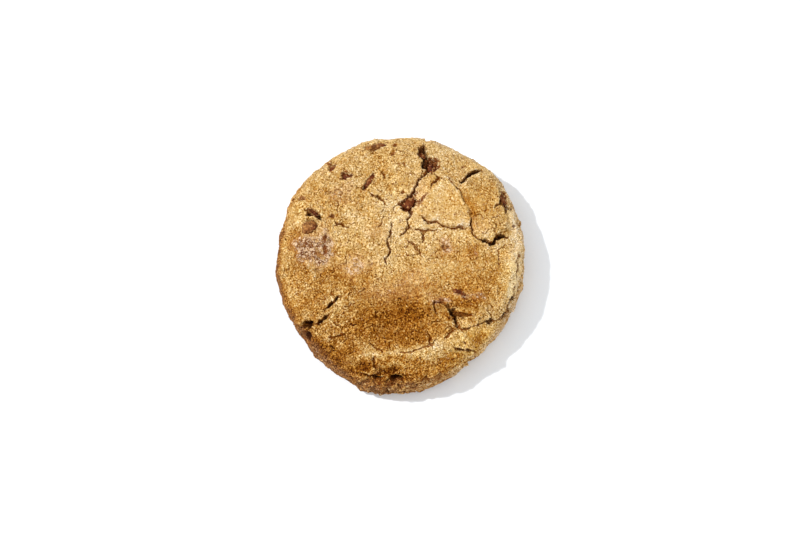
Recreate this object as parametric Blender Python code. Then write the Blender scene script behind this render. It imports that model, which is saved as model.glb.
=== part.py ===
"""A thick milk chocolate cookie, free standing on its flat baked base.

The dough is one solid: a domed top with lifted flakes, cracks and a sunken
toasted patch, a rounded shoulder, and a crumbly side down to the base.
Milk chocolate chunks, each its own solid, sit in pockets in the crust.

All sizes in the tables are millimetres and all turns are degrees. X and Y
are counted from the middle of the base, X to the right and Y to the back.
"""

import itertools
import math

import bmesh
import bpy
import numpy as np
from mathutils import Matrix, Vector

MM = 0.001

# ---------------------------------------------------------------- dough sizes
MEAN_RADIUS = 40.4
DOUGH_HEIGHT = 19.0
WAIST_HEIGHT = 7.5  # where the side bulges out furthest
BASE_SHARE = 0.955  # the base's radius, as a share of the waist's
DOME_POWER = 3.0  # 2 would be an ellipse; more gives a flatter top and a tighter shoulder
FOOT_POWER = 2.6
ROW_STEP = 0.55  # spacing of the surface's rows before they are thinned
RING_GROWTH = 6  # each ring of points has this many more than the one inside it, up to
ROUND_COUNT = 450  # points round the side
MERIDIAN_SAMPLES = 400
KEPT_SHARE = 0.15  # of the triangles, after thinning

# How far the outline is out of round: lobes, size, and where one lobe points.
OUTLINE_LOBES = ((1, 0.55, 110), (2, 1.22, 75), (3, 0.58, 23), (4, 0.23, -6), (5, 0.31, 47), (7, 0.19, 40))

# Places on the crust are counted from its own middle, which has set a little off the base's middle.
CRUST_MIDDLE = np.array((-0.25, -1.0))

# Nicks in the rim: where they point, their width, their depth, and the heights they span.
RIM_NICKS = {
    "split": (79.0, 2.6, 1.5, (3.0, 20.0)),
    "right": (0.5, 2.4, 1.1, (2.0, 14.0)),
    "front_right": (-57.5, 2.2, 1.9, (2.0, 13.0)),
    "corner": (-49.0, 3.0, 0.8, (2.0, 12.0)),
    "seam_end": (-25.5, 2.0, 1.3, (3.0, 14.0)),
}
NICK_WANDER = 1.0  # how far a nick strays sideways on its way down
NICK_FADE = 4.0  # a nick fades out over this height at its ends

# What belongs to the top fades where the crust turns down, and what belongs to the side fades where
# it turns up.
TOP_FADE = 2.5
SIDE_FADE = 1.4

# Broad rises (+) and hollows (-): centre, half widths, turn, height.
SWELLS = {
    "toasted_hollow": ((-0.5, -22.3), (10.5, 8.0), -4, -2.4),
    "hollow_left_end": ((-11.0, -24.0), (5.0, 5.0), 0, -0.7),
    "back_right_rise": ((13.0, 16.0), (14.0, 13.0), 30, 0.7),
    "right_rise": ((24.0, -8.0), (9.0, 9.0), 0, 1.0),
    "fold_brow": ((20.0, -14.5), (6.0, 2.4), -12, 1.1),
    "fold_floor": ((19.0, -20.6), (5.5, 2.4), -12, -1.5),
    "strip_floor": ((6.6, 21.4), (2.2, 5.6), -28, -0.7),
    "left_lump": ((-28.6, 9.8), (3.4, 2.8), 15, 1.0),
    "left_smear": ((-26.5, 3.0), (5.5, 6.5), 0, 0.5),
    "front_left_slope": ((-22.0, -25.0), (9.0, 7.0), 40, -0.8),
    "lower_right_slope": ((27.5, -25.5), (6.0, 5.0), -45, -0.7),
    "side_hollow_left": ((-8.0, -38.6), (3.2, 1.3), 3, -1.6),
    "side_hollow_middle": ((-1.2, -39.2), (2.6, 1.2), 0, -1.7),
    "side_crumb": ((-5.8, -40.4), (1.6, 1.6), 0, 0.8),
    "edge_hole": ((-30.2, -24.4), (1.5, 1.9), 35, -2.4),
    "left_pit": ((-29.6, -21.7), (1.9, 0.9), 10, -1.5),
}

# Ridges pressed up along a route: route, width, height.
RIDGES = {
    "front_rim": (((-16, -31.0), (-8, -33.2), (0, -33.2), (8, -31.6), (16.5, -27.5)), 5.2, 1.3),
    "front_rim_crest": (((-6.5, -31.6), (0, -32.2), (6.5, -31.2), (12.0, -28.6)), 1.8, 0.6),
    "right_lip": (((34.6, 0.5), (34.6, -6.0), (33.0, -11.0), (30.6, -16.5)), 2.6, 0.8),
    "left_brow": (((-30, 13.0), (-27, 11.6), (-23.5, 9.5), (-23.4, 3.0)), 2.4, 0.5),
}

# Flakes of crust that stand proud: their corners, in order, and their height.
FLAKES = {
    "fan": (
        ((14.0, 26.4), (17.5, 22.6), (20.0, 17.9), (22.3, 12.2), (22.2, 9.1), (14.0, 9.6), (7.6, 12.2),
         (6.0, 15.9), (9.5, 20.7), (12.4, 24.2)),
        1.1,
    ),
    "scale_left": (((-2.1, 11.8), (2.6, 13.4), (1.9, 11.8), (2.5, 9.5), (0.9, 7.1), (-2.1, 7.1)), 0.5),
    "scale_middle": (((3.8, 11.5), (6.6, 12.9), (8.9, 8.8), (6.0, 8.3), (3.4, 8.8)), 0.5),
    "scale_right": (((3.1, 7.4), (6.3, 7.3), (6.9, 5.4), (5.4, 3.1), (1.9, 5.4)), 0.4),
    "right_plate": (
        ((20.6, 24.8), (24.8, 28.0), (29.2, 27.3), (31.8, 23.5), (31.5, 18.0), (33.4, 14.7), (33.8, 9.7),
         (31.2, 8.0), (29.2, 6.4), (25.4, 6.1), (23.6, 8.2), (23.3, 13.5), (21.2, 18.6)),
        0.7,
    ),
    "lower_right": (
        ((10.5, -26.5), (16.0, -24.6), (19.5, -24.2), (23.5, -29.5), (19.5, -30.4), (15.5, -30.2)),
        0.6,
    ),
}
FLAKE_EDGE = 0.8  # the width of the step at its edge
FLAKE_MIDDLE = 0.7  # how high its middle stands, as a share of its height
FLAKE_CURL = 0.4  # how much more its edge curls up
CURL_REACH = 2.4

# Cracks: route, width, depth.
CRACKS = {
    "split_top": (((7.6, 38.3), (7.1, 35.7), (7.9, 33.3), (8.6, 30.8), (8.9, 28.4)), 2.2, 2.2),
    "split_middle": (((8.9, 28.4), (6.0, 25.4), (5.0, 23.1), (4.1, 21.2), (3.6, 19.3)), 1.1, 1.6),
    "split_end": (((3.6, 19.3), (3.4, 17.3), (3.1, 15.2), (3.3, 13.2)), 1.1, 1.4),
    "split_side": (((9.2, 28.0), (11.1, 27.0), (12.2, 25.6)), 1.0, 1.0),
    "centre": (((-2.9, 10.8), (-2.6, 8.4), (-4.0, 4.4), (-3.1, 0.9), (-4.6, -1.6), (-4.2, -3.2)), 1.1, 1.2),
    "scales": (((3.3, 13.2), (1.9, 12.0), (2.6, 10.0), (2.5, 8.6), (-0.1, 6.1)), 1.0, 0.8),
    "fan_foot": (((6.6, 13.0), (8.5, 10.5), (11.1, 10.7), (14.0, 9.2), (16.2, 8.4), (21.0, 8.9)), 1.0, 0.9),
    "fan_side": (((15.9, 25.3), (19.0, 21.6), (21.6, 15.6), (22.4, 8.8), (24.5, 5.5)), 1.1, 0.9),
    "plate_back": (((19.0, 24.4), (21.2, 26.2), (22.9, 27.8), (24.5, 28.7), (26.7, 29.1)), 1.4, 1.9),
    "plate_front": (((24.5, 5.5), (28.0, 4.8), (29.4, 4.5), (30.8, 6.4), (34.3, 7.0)), 1.4, 2.0),
    "rim_right": (((31.9, 23.1), (32.4, 21.4), (32.1, 19.1), (33.4, 17.1), (33.5, 15.1)), 1.0, 1.3),
    "rim_right_in": (((32.0, 18.1), (30.5, 17.1), (29.7, 16.1)), 1.0, 0.9),
    "rim_right_out": (((33.4, 17.1), (35.5, 16.7), (37.0, 18.0)), 1.0, 0.9),
    "right_lip": (((36.9, -7.4), (36.1, -9.8), (34.9, -13.4), (33.0, -17.4), (30.2, -19.8)), 1.2, 1.4),
    "lower_seam": (((29.9, -20.0), (26.4, -20.8), (22.8, -22.4), (18.6, -23.5)), 1.2, 1.2),
    "fold_down": (((15.5, -17.5), (17.5, -20.6), (18.4, -23.4)), 1.3, 1.6),
    "fold": (((13.6, -16.2), (15.2, -17.3), (19.0, -18.2), (22.9, -18.0)), 1.5, 1.9),
    "fold_left": (((14.0, -15.6), (11.2, -15.3), (10.8, -17.3), (11.7, -18.9)), 1.0, 0.8),
    "lower_arc": (((16.5, -30.2), (19.2, -30.9), (21.9, -29.6)), 1.0, 1.0),
    "lower_left": (((-18.5, -13.3), (-22.8, -16.6), (-24.1, -19.4), (-26.3, -21.7)), 1.1, 1.3),
    "upper_left": (((-9.0, 20.6), (-7.7, 20.0), (-5.3, 17.8)), 1.0, 0.7),
    "left_gap": (((-30.5, 16.3), (-28.1, 14.0), (-26.5, 13.4), (-24.9, 12.0)), 1.2, 1.5),
    "front_edge": (((-8.0, -32.4), (-8.3, -34.8), (-7.5, -36.1)), 1.0, 1.1),
    "front_left_lip": (((-26.8, -29.5), (-24.5, -31.8), (-20.8, -34.0)), 1.3, 1.2),
}

# Splits round the side, under the lifted crust: from and to which angle, height, wave, width, depth.
SIDE_SPLITS = {
    "right": ((-38, 14), 10.5, 1.2, 1.6, 1.3),
    "back_right": ((33, 72), 9.0, 1.4, 1.4, 1.1),
    "back": ((92, 148), 10.0, 1.6, 1.5, 1.2),
    "left_brow": ((126, 158), 12.6, 0.4, 1.0, 0.8),
    "left": ((160, 206), 8.5, 1.3, 1.5, 1.2),
    "front_left": ((214, 243), 9.5, 1.0, 1.6, 1.4),
    "front": ((252, 276), 6.0, 0.9, 1.8, 1.6),
    "lower_right": ((292, 321), 9.6, 0.5, 1.2, 0.9),
}
SPLIT_WAVES = 9.0  # waves of a side split in a full turn
SPLIT_TAPER = 4.0  # a side split fades out over this length at its ends

# Crumb of the surface: size of a crag, its height on the top, its height on the side, and its seed.
CRAGS = ((9.0, 0.55, 0.60, 11), (4.2, 0.42, 0.62, 23), (2.1, 0.28, 0.36, 37))
NOISE_CELLS = 64  # the random values repeat after this many crags
SIDE_LAYERING = 1.7  # side crags are this much wider than they are tall
FOOT_FADE = 1.6  # below this height the crumb evens out to the flat base
BASE_UNEVENNESS = 0.3  # share of the crumb that the base's edge keeps

# ------------------------------------------------------------ chocolate sizes
CHUNK_DEPTH = 2.6
SLOPE_STEP = 0.5  # the crust's slope under a chunk is measured over this distance each way
CHUNK_SKEW = 0.30  # how far a corner may be out of square, as a share of the chunk's side
CHUNK_MELT = 0.62  # 0 keeps the chopped block, 1 melts it to an egg
CHUNK_CUTS = 2  # across each side of the block
CHUNK_SEED = 101  # the first chunk's, and the next chunk's is one more
POCKET_GAP = 0.3
SLIVER = 0.03  # points this close, left where a pocket is cut, become one
POCKET_OPEN = 4.0  # how far a pocket's cutter reaches out through the crust

# Chunks that show: centre, length and width, turn, and how far they stand proud of the crust.
CHUNKS = {
    "chunk_centre": ((2.7, 17.6), (4.8, 3.6), 55, -0.1),
    "chunk_split": ((10.2, 30.8), (4.6, 3.2), 80, -0.5),
    "chunk_nick": ((6.9, 35.4), (3.2, 2.0), 105, -0.6),
    "chunk_sliver": ((-9.9, 25.4), (6.0, 1.8), 60, 0.1),
    "chunk_back_left": ((-17.3, 27.0), (3.2, 2.6), -35, -0.1),
    "chunk_rim_left": ((-22.0, 31.1), (3.0, 2.0), 70, -0.1),
    "chunk_left_gap": ((-27.4, 14.9), (3.2, 2.2), -40, -0.1),
    "chunk_left_lump": ((-28.6, 9.6), (5.0, 3.8), 15, 0.5),
    "chunk_rim_right": ((33.4, 20.4), (4.4, 1.9), -72, -0.1),
    "chunk_middle": ((14.7, 2.7), (3.0, 2.6), 10, 0.1),
    "chunk_brow": ((18.7, -12.3), (5.2, 2.1), -20, 0.1),
    "chunk_back_rim": ((-8.0, 38.0), (6.6, 2.2), 10, 0.0),
}

DOUGH_COLOUR = (0.60, 0.35, 0.145)
DOUGH_ROUGHNESS = 0.85
CHOCOLATE_COLOUR = (0.115, 0.038, 0.014)
CHOCOLATE_ROUGHNESS = 0.5


def clear_scene():
    for item in list(bpy.data.objects):
        bpy.data.objects.remove(item)


def material(name, colour, roughness):
    made = bpy.data.materials.new(name)
    made.use_nodes = True
    shader = made.node_tree.nodes["Principled BSDF"]
    shader.inputs["Base Color"].default_value = (*colour, 1.0)
    shader.inputs["Roughness"].default_value = roughness
    shader.inputs["Metallic"].default_value = 0.0
    made.diffuse_color = (*colour, 1.0)
    return made


def outline_radius(angle):
    """Radius of the waist, seen from above, at an angle in radians."""
    radius = MEAN_RADIUS
    for lobes, size, towards in OUTLINE_LOBES:
        radius = radius + size * np.cos(lobes * (angle - math.radians(towards)))
    return radius


def dome(share):
    """Height of the smooth top, a superellipse, at a share of the radius."""
    left = np.clip(1 - np.asarray(share, float) ** DOME_POWER, 0, 1)
    return WAIST_HEIGHT + (DOUGH_HEIGHT - WAIST_HEIGHT) * left ** (1 / DOME_POWER)


def meridian():
    """The smooth outline from the middle of the top to the base's edge, as (share of radius, height) rows."""
    turn = np.linspace(0, math.pi / 2, MERIDIAN_SAMPLES)
    upper = np.sin(turn) ** (2 / DOME_POWER)
    lower = BASE_SHARE + (1 - BASE_SHARE) * np.cos(turn[1:]) ** (2 / FOOT_POWER)
    share = np.concatenate([upper, lower])
    height = np.concatenate([dome(upper), WAIST_HEIGHT * (1 - np.sin(turn[1:]) ** (2 / FOOT_POWER))])
    length = np.concatenate([[0], np.cumsum(np.hypot(np.diff(share) * MEAN_RADIUS, np.diff(height)))])
    rows = np.linspace(0, length[-1], round(length[-1] / ROW_STEP) + 1)
    return np.interp(rows, length, share), np.interp(rows, length, height)


def lattice_noise(points, size, seed):
    """Smooth noise from -1 to 1: a random value at each corner of a grid, eased between the corners."""
    corners = np.random.default_rng(seed).uniform(-1, 1, (NOISE_CELLS,) * 3)
    grid = points / size
    cell = np.floor(grid).astype(int)
    part = grid - cell
    part = part * part * (3 - 2 * part)
    total = np.zeros(len(points))
    for corner in itertools.product((0, 1), repeat=3):
        value = corners[tuple((cell + corner).T % NOISE_CELLS)]
        total += value * np.prod(np.where(corner, part, 1 - part), axis=1)
    return total


def distance_to_route(plan, route):
    """Distance from each point to the nearest stretch of an open route."""
    nearest = np.full(len(plan), np.inf)
    for start, end in itertools.pairwise(np.array(route, float)):
        run = end - start
        along = np.clip((plan - start) @ run / (run @ run), 0, 1)
        gap = np.linalg.norm(plan - start - along[:, None] * run, axis=1)
        nearest = np.minimum(nearest, gap)
    return nearest


def depth_inside(plan, corners):
    """Distance from each point to a closed outline, positive inside it."""
    gap = distance_to_route(plan, (*corners, corners[0]))
    inside = np.zeros(len(plan), bool)
    for (x0, y0), (x1, y1) in itertools.pairwise((*corners, corners[0])):
        crosses = (plan[:, 1] < y0) != (plan[:, 1] < y1)
        reach = x0 + (plan[:, 1] - y0) / ((y1 - y0) or 1) * (x1 - x0)
        inside ^= crosses & (plan[:, 0] < reach)
    return np.where(inside, gap, -gap)


def swell(plan, centre, half, turn, height):
    across = plan - centre
    cos, sin = math.cos(math.radians(turn)), math.sin(math.radians(turn))
    along = (across[:, 0] * cos + across[:, 1] * sin) / half[0]
    aside = (across[:, 1] * cos - across[:, 0] * sin) / half[1]
    return height * np.exp(-(along**2 + aside**2))


def ridge(plan, route, width, height):
    return height * np.exp(-((distance_to_route(plan, route) * 2 / width) ** 2))


def flake(plan, corners, height):
    """A raised flake: it steps up at its edge and stands highest just inside it."""
    inside = depth_inside(plan, corners)
    step = np.clip(0.5 + inside / FLAKE_EDGE, 0, 1)
    curl = np.exp(-(((np.maximum(inside, 0) - FLAKE_EDGE) / CURL_REACH) ** 2))
    return height * step * (FLAKE_MIDDLE + FLAKE_CURL * curl)


def crack(plan, route, width, depth):
    """A V-shaped groove with a rounded mouth."""
    share = np.clip(1 - distance_to_route(plan, route) * 2 / width, 0, 1)
    return -depth * share * (2 - share)


def side_split(points, angle, span, height, wave, width, depth):
    """A groove that runs round the side at about one height, fading out at its ends."""
    start, end = map(math.radians, span)
    past = (angle - start) % (2 * math.pi)
    fade = np.clip(np.minimum(past, end - start - past) * MEAN_RADIUS / SPLIT_TAPER, 0, 1)
    middle = height + wave * np.sin(SPLIT_WAVES * angle + height)
    share = np.clip(1 - np.abs(points[:, 2] - middle) * 2 / width, 0, 1)
    return -depth * fade * share * (2 - share)


def crags(points, side):
    """The uneven crumb all over: rounder on the top, deeper and in layers on the side."""
    total = np.zeros(len(points))
    layered = points * (1, 1, SIDE_LAYERING)
    for size, top_height, side_height, seed in CRAGS:
        height = top_height * (1 - side) + side_height * side
        total += height * lattice_noise(layered, size, seed)
    return total


def relief(points, normals):
    """How far the real crust stands out from the smooth body at each point."""
    plan = points[:, :2] - CRUST_MIDDLE
    on_top = np.clip(normals[:, 2] * TOP_FADE, 0, 1)
    side = np.clip(1 - normals[:, 2] * SIDE_FADE, 0, 1)
    shape = np.zeros(len(points))
    for sizes in SWELLS.values():
        shape += swell(plan, *sizes)
    for sizes in RIDGES.values():
        shape += ridge(plan, *sizes)
    for sizes in FLAKES.values():
        shape += flake(plan, *sizes)
    for sizes in CRACKS.values():
        shape += crack(plan, *sizes)
    shape = shape * on_top + crags(points, side)
    angle = np.arctan2(points[:, 1], points[:, 0])
    for sizes in SIDE_SPLITS.values():
        shape += side_split(points, angle, *sizes) * side
    for towards, width, depth, (low, high) in RIM_NICKS.values():
        wandering = angle + NICK_WANDER / MEAN_RADIUS * np.sin(points[:, 2] + towards)
        away = (wandering - math.radians(towards) + math.pi) % (2 * math.pi) - math.pi
        beside = np.clip(1 - np.abs(away) * MEAN_RADIUS * 2 / width, 0, 1)
        between = np.clip(np.minimum(points[:, 2] - low, high - points[:, 2]) / NICK_FADE, 0, 1)
        shape -= depth * beside * between * side
    return shape * np.clip(points[:, 2] / FOOT_FADE, BASE_UNEVENNESS, 1)


def stitch(inner, outer):
    """Triangles between two closed rings of point numbers, which may differ in count. They face outwards."""
    if len(inner) == 1:
        return [(inner[0], outer[j - 1], outer[j]) for j in range(len(outer))]
    faces = []
    i = j = 0
    while i < len(inner) or j < len(outer):
        if j * len(inner) <= i * len(outer) and j < len(outer):
            faces.append((inner[i % len(inner)], outer[j], outer[(j + 1) % len(outer)]))
            j += 1
        else:
            faces.append((inner[i], outer[j % len(outer)], inner[(i + 1) % len(inner)]))
            i += 1
    return faces


def dough_mesh():
    """Rings of points from the middle of the top, over the shoulder and down the side, and a flat base."""
    share, height = meridian()
    slope_out = np.gradient(share) * MEAN_RADIUS
    slope_up = np.gradient(height)
    lean = np.hypot(slope_out, slope_up)
    points, normals, rings = [], [], []
    for row, (at, z) in enumerate(zip(share, height)):
        count = max(1, min(RING_GROWTH * row, ROUND_COUNT))
        angle = np.arange(count) * (2 * math.pi / count)
        reach = at * outline_radius(angle)
        outward = -slope_up[row] / lean[row]
        upward = slope_out[row] / lean[row] if z > FOOT_FADE else 0.0
        first = sum(len(ring) for ring in rings)
        rings.append(list(range(first, first + count)))
        points.append(np.stack([reach * np.cos(angle), reach * np.sin(angle), np.full(count, z)], axis=1))
        normals.append(
            np.stack([outward * np.cos(angle), outward * np.sin(angle), np.full(count, upward)], axis=1)
        )
    points = np.concatenate(points)
    normals = np.concatenate(normals)
    points = points + normals * relief(points, normals)[:, None]
    points[rings[-1], 2] = 0
    faces = []
    for inner, outer in itertools.pairwise(rings):
        faces += stitch(inner, outer)
    middle = len(points)
    points = np.vstack([points, (0, 0, 0)])
    edge = rings[-1]
    faces += [(middle, edge[(i + 1) % len(edge)], edge[i]) for i in range(len(edge))]
    mesh = bpy.data.meshes.new("cookie")
    mesh.from_pydata((points * MM).tolist(), [], faces)
    mesh.update()
    return mesh


def relief_without_cracks(place):
    """The crust's relief at one place, as if no crack ran through it."""
    plan = np.array([place], float)
    swollen = sum(swell(plan, *sizes) for sizes in SWELLS.values())
    lifted = sum(flake(plan, *sizes) for sizes in FLAKES.values())
    return float((swollen + lifted)[0])


def crust_frame(centre, turn):
    """Where a chunk lies: on the crust at `centre`, its Z along the crust's normal and its X along `turn`."""

    def top(x, y):
        share = math.hypot(x, y) / outline_radius(math.atan2(y, x))
        return float(dome(share))

    x, y = centre + CRUST_MIDDLE
    slope_x = (top(x + SLOPE_STEP, y) - top(x - SLOPE_STEP, y)) / (2 * SLOPE_STEP)
    slope_y = (top(x, y + SLOPE_STEP) - top(x, y - SLOPE_STEP)) / (2 * SLOPE_STEP)
    normal = Vector((-slope_x, -slope_y, 1)).normalized()
    along = Vector((math.cos(math.radians(turn)), math.sin(math.radians(turn)), 0))
    along = (along - normal * along.dot(normal)).normalized()
    across = normal.cross(along)
    place = Vector((x, y, top(x, y))) + normal * relief_without_cracks(centre)
    turned = Matrix((along, across, normal)).transposed().to_4x4()
    return Matrix.Translation(place) @ turned


def chunk_mesh(name, size, seed, grown, opened):
    """A chopped block, out of square and half melted, with its top at Z 0. A pocket for it is `grown` all
    round and `opened` at the top."""
    random = np.random.default_rng(seed)
    half = np.array((size[0], size[1], CHUNK_DEPTH)) / 2
    corners = itertools.product((-1, 1), repeat=3)
    skew = {corner: 1 + CHUNK_SKEW * random.uniform(-1, 1, 3) for corner in corners}
    made = bmesh.new()
    bmesh.ops.create_cube(made, size=2.0)
    bmesh.ops.subdivide_edges(made, edges=made.edges[:], cuts=CHUNK_CUTS, use_grid_fill=True)
    for point in made.verts:
        side = np.array(point.co)
        block = sum(np.prod((1 + side * corner) / 2) * half * corner * skew[corner] for corner in skew)
        egg = half * side / np.linalg.norm(side)
        place = block * (1 - CHUNK_MELT) + egg * CHUNK_MELT
        place += grown * side / np.abs(side).max()
        place[2] += opened * max(side[2], 0) - half[2]
        point.co = Vector(place * MM)
    bmesh.ops.recalc_face_normals(made, faces=made.faces[:])
    mesh = bpy.data.meshes.new(name)
    made.to_mesh(mesh)
    made.free()
    return mesh


def build():
    clear_scene()
    crust = material("crust", DOUGH_COLOUR, DOUGH_ROUGHNESS)
    chocolate = material("chocolate", CHOCOLATE_COLOUR, CHOCOLATE_ROUGHNESS)

    cookie = bpy.data.objects.new("cookie", dough_mesh())
    cookie.data.materials.append(crust)
    bpy.context.scene.collection.objects.link(cookie)
    thin = cookie.modifiers.new("thin", "DECIMATE")
    thin.ratio = KEPT_SHARE
    thin.use_collapse_triangulate = True

    pockets = bpy.data.collections.new("pockets")
    bpy.context.scene.collection.children.link(pockets)
    for seed, (name, (centre, size, turn, proud)) in enumerate(CHUNKS.items(), start=CHUNK_SEED):
        place = crust_frame(centre, turn) @ Matrix.Translation((0, 0, proud))
        place = Matrix.Translation(place.translation * MM) @ place.to_3x3().to_4x4()

        chunk = bpy.data.objects.new(name, chunk_mesh(name, size, seed, grown=0.0, opened=0.0))
        chunk.data.materials.append(chocolate)
        chunk.matrix_world = place
        bpy.context.scene.collection.objects.link(chunk)

        pocket = chunk_mesh(name + "_pocket", size, seed, grown=POCKET_GAP, opened=POCKET_OPEN)
        cutter = bpy.data.objects.new(name + "_pocket", pocket)
        cutter.matrix_world = place
        cutter.hide_render = True
        cutter.display_type = "WIRE"
        pockets.objects.link(cutter)

    seat = cookie.modifiers.new("chunk pockets", "BOOLEAN")
    seat.operation = "DIFFERENCE"
    seat.operand_type = "COLLECTION"
    seat.collection = pockets
    seat.solver = "EXACT"
    weld = cookie.modifiers.new("close slivers", "WELD")
    weld.merge_threshold = SLIVER * MM


build()
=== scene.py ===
"""A thick milk chocolate cookie: the crust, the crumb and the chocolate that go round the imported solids.

All sizes in the tables are millimetres and all turns are degrees. X and Y are counted from the middle
of the cookie's base, X to the right and Y to the back.
"""

import itertools
import math
import types

import bmesh
import bpy
import numpy as np
from mathutils import Matrix, Vector


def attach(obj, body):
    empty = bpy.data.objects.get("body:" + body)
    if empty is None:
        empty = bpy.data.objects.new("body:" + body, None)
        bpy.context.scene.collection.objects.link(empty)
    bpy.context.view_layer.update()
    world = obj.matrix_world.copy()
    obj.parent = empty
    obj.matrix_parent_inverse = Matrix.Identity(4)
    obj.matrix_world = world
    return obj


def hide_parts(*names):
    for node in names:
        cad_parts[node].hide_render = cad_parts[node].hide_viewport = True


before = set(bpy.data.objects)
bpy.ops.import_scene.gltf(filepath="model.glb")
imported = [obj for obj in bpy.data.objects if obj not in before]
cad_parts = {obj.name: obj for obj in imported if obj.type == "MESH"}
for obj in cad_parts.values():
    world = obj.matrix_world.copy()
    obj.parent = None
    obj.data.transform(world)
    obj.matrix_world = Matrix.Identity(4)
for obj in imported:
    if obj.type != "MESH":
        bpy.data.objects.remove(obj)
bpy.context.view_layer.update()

# ------------------------------------------------------------------------------------------------------
# The dough. One thick round of brown sugar dough, baked on a flat sheet: it has domed, its skin has set
# and then split and lifted in flakes as it rose, and its side is rough where the crumb shows.

MM = 0.001

MEAN_RADIUS = 40.4
DOUGH_HEIGHT = 19.0
WAIST_HEIGHT = 7.5  # the dough is widest here
BASE_SHARE = 0.955  # the base's radius, as a share of the waist's
DOME_POWER = 3.0  # how full the shoulder of the top is
FOOT_POWER = 2.6  # and the foot of the side
PROFILE_STEPS = 400  # of the top and of the foot, along which the surface's rows are spaced
ROW_STEP = 0.345  # spacing of the surface's rows
RING_GROWTH = 6  # on the top a row has this many points more than the one inside it
ROUND_COUNT = 720  # points round the side
BASE_ROWS = 14  # rings of points on the flat base
LOOSENESS = 0.3  # how far a point strays from its place in the rows, as a share of their spacing
BODY_SEED = 5

# Slow waves in the outline: how many go round it, their size, and where one of them points.
OUTLINE_LOBES = (
    (1, 0.55, 110), (2, 1.22, 75), (3, 0.58, 23), (4, 0.23, -6), (5, 0.31, 47), (7, 0.19, 40),
)

# The places in the tables below are counted from the middle of the crust, which has set a little off the
# middle of the base.
CRUST_MIDDLE = np.array((-0.25, -1.0))

# What belongs to the top fades as the crust turns down, and what belongs to the side as it turns up.
TOP_FADE = 2.5
SIDE_FADE = 1.4
FOOT_FADE = 1.6  # relief fades out over this height above the base
BASE_UNEVENNESS = 0.3  # and this share of it is left in the base's edge

# Broad rises (+) and hollows (-): centre, half widths, turn, height.
SWELLS = {
    "toasted_hollow": ((-0.5, -22.3), (10.5, 8.0), -4, -2.4),
    "hollow_left_end": ((-11.0, -24.0), (5.0, 5.0), 0, -0.7),
    "back_right_rise": ((13.0, 16.0), (14.0, 13.0), 30, 0.7),
    "right_rise": ((24.0, -8.0), (9.0, 9.0), 0, 1.0),
    "fold_brow": ((20.0, -14.5), (6.0, 2.4), -12, 1.1),
    "fold_floor": ((19.0, -20.6), (5.5, 2.4), -12, -1.5),
    "strip_floor": ((6.6, 21.4), (2.2, 5.6), -28, -0.7),
    "left_lump": ((-28.6, 9.8), (3.4, 2.8), 15, 1.0),
    "left_smear": ((-26.5, 3.0), (5.5, 6.5), 0, 0.5),
    "front_left_slope": ((-22.0, -25.0), (9.0, 7.0), 40, -0.8),
    "lower_right_slope": ((27.5, -25.5), (6.0, 5.0), -45, -0.7),
    "side_hollow_left": ((-8.0, -38.6), (3.2, 1.3), 3, -1.6),
    "side_hollow_middle": ((-1.2, -39.2), (2.6, 1.2), 0, -1.7),
    "side_crumb": ((-5.8, -40.4), (1.6, 1.6), 0, 0.8),
    "left_pit": ((-29.5, -21.4), (1.9, 0.8), 10, -1.3),
}

# Ridges pressed up along a route: route, width, height.
RIDGES = {
    "front_rim": (((-16, -31.0), (-8, -33.2), (0, -33.2), (8, -31.6), (16.5, -27.5)), 5.2, 1.3),
    "right_lip": (((34.6, 0.5), (34.6, -6.0), (33.0, -11.0), (30.6, -16.5)), 2.6, 0.8),
    "front_rim_crest": (((-6.5, -31.6), (0, -32.2), (6.5, -31.2), (12.0, -28.6)), 1.8, 0.6),
    "left_brow": (((-30, 13.0), (-27, 11.6), (-23.5, 9.5), (-23.4, 3.0)), 2.4, 0.5),
}

# Flakes of crust that stand proud: their corners, in order, and their height.
FLAKES = {
    "fan": (((14.0, 26.4), (15.9, 25.3), (17.5, 22.6), (19.0, 21.6), (20.0, 17.9), (21.6, 15.9),
             (22.4, 12.2), (22.2, 9.1), (17.8, 9.0), (14.0, 9.6), (11.4, 10.9), (7.6, 12.2),
             (6.0, 15.9), (6.6, 17.6), (9.5, 20.7), (12.4, 24.2)), 1.1),
    "scale_left": (((-2.1, 11.8), (2.6, 13.4), (1.9, 11.8), (2.5, 9.5), (0.9, 7.1), (-2.1, 7.1)), 0.5),
    "scale_middle": (((3.8, 11.5), (6.6, 12.9), (8.9, 8.8), (6.0, 8.3), (3.4, 8.8)), 0.5),
    "scale_right": (((3.1, 7.4), (6.3, 7.3), (6.9, 5.4), (5.4, 3.1), (1.9, 5.4)), 0.4),
    "right_plate": (((20.6, 24.8), (24.8, 28.0), (29.2, 27.3), (31.8, 23.5), (31.5, 18.0), (33.4, 14.7),
                     (33.8, 9.7), (31.2, 8.0), (29.2, 6.4), (25.4, 6.1), (23.4, 8.2), (22.8, 13.5),
                     (20.4, 18.6), (19.7, 22.0)), 0.7),
    "lower_right": (((10.5, -26.5), (16.0, -24.6), (19.5, -24.2), (23.5, -29.5), (19.5, -30.4),
                     (15.5, -30.2)), 0.6),
}
FLAKE_EDGE = 0.45  # a flake steps up over this width
FLAKE_CURL = 6.0  # how fast its curled edge flattens inwards, in square millimetres
FLAKE_HEIGHTS = (0.7, 0.4)  # the share of its height that it keeps inside, and what the curled edge adds
FLAKE_FRAY = 0.45  # how far its edge wanders
AWAY_FROM_KEY = (0.94, -0.34)  # the way to a flake's side that faces away from the key light, where a shadow is painted beside its edge
SHADOW_SIDE_SHARE = 0.3  # how dark that painted shadow is at an edge that faces neither away from the key light nor towards it
SHADOW_BAND = (-0.9, 0.9)  # its edge has a painted shadow along its outside and a painted highlight along its inside: place, width
HIGHLIGHT_BAND = (0.5, 0.6)
HIGHLIGHT_SHARE = 0.5  # of the painted highlight inside, against the painted shadow outside
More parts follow.
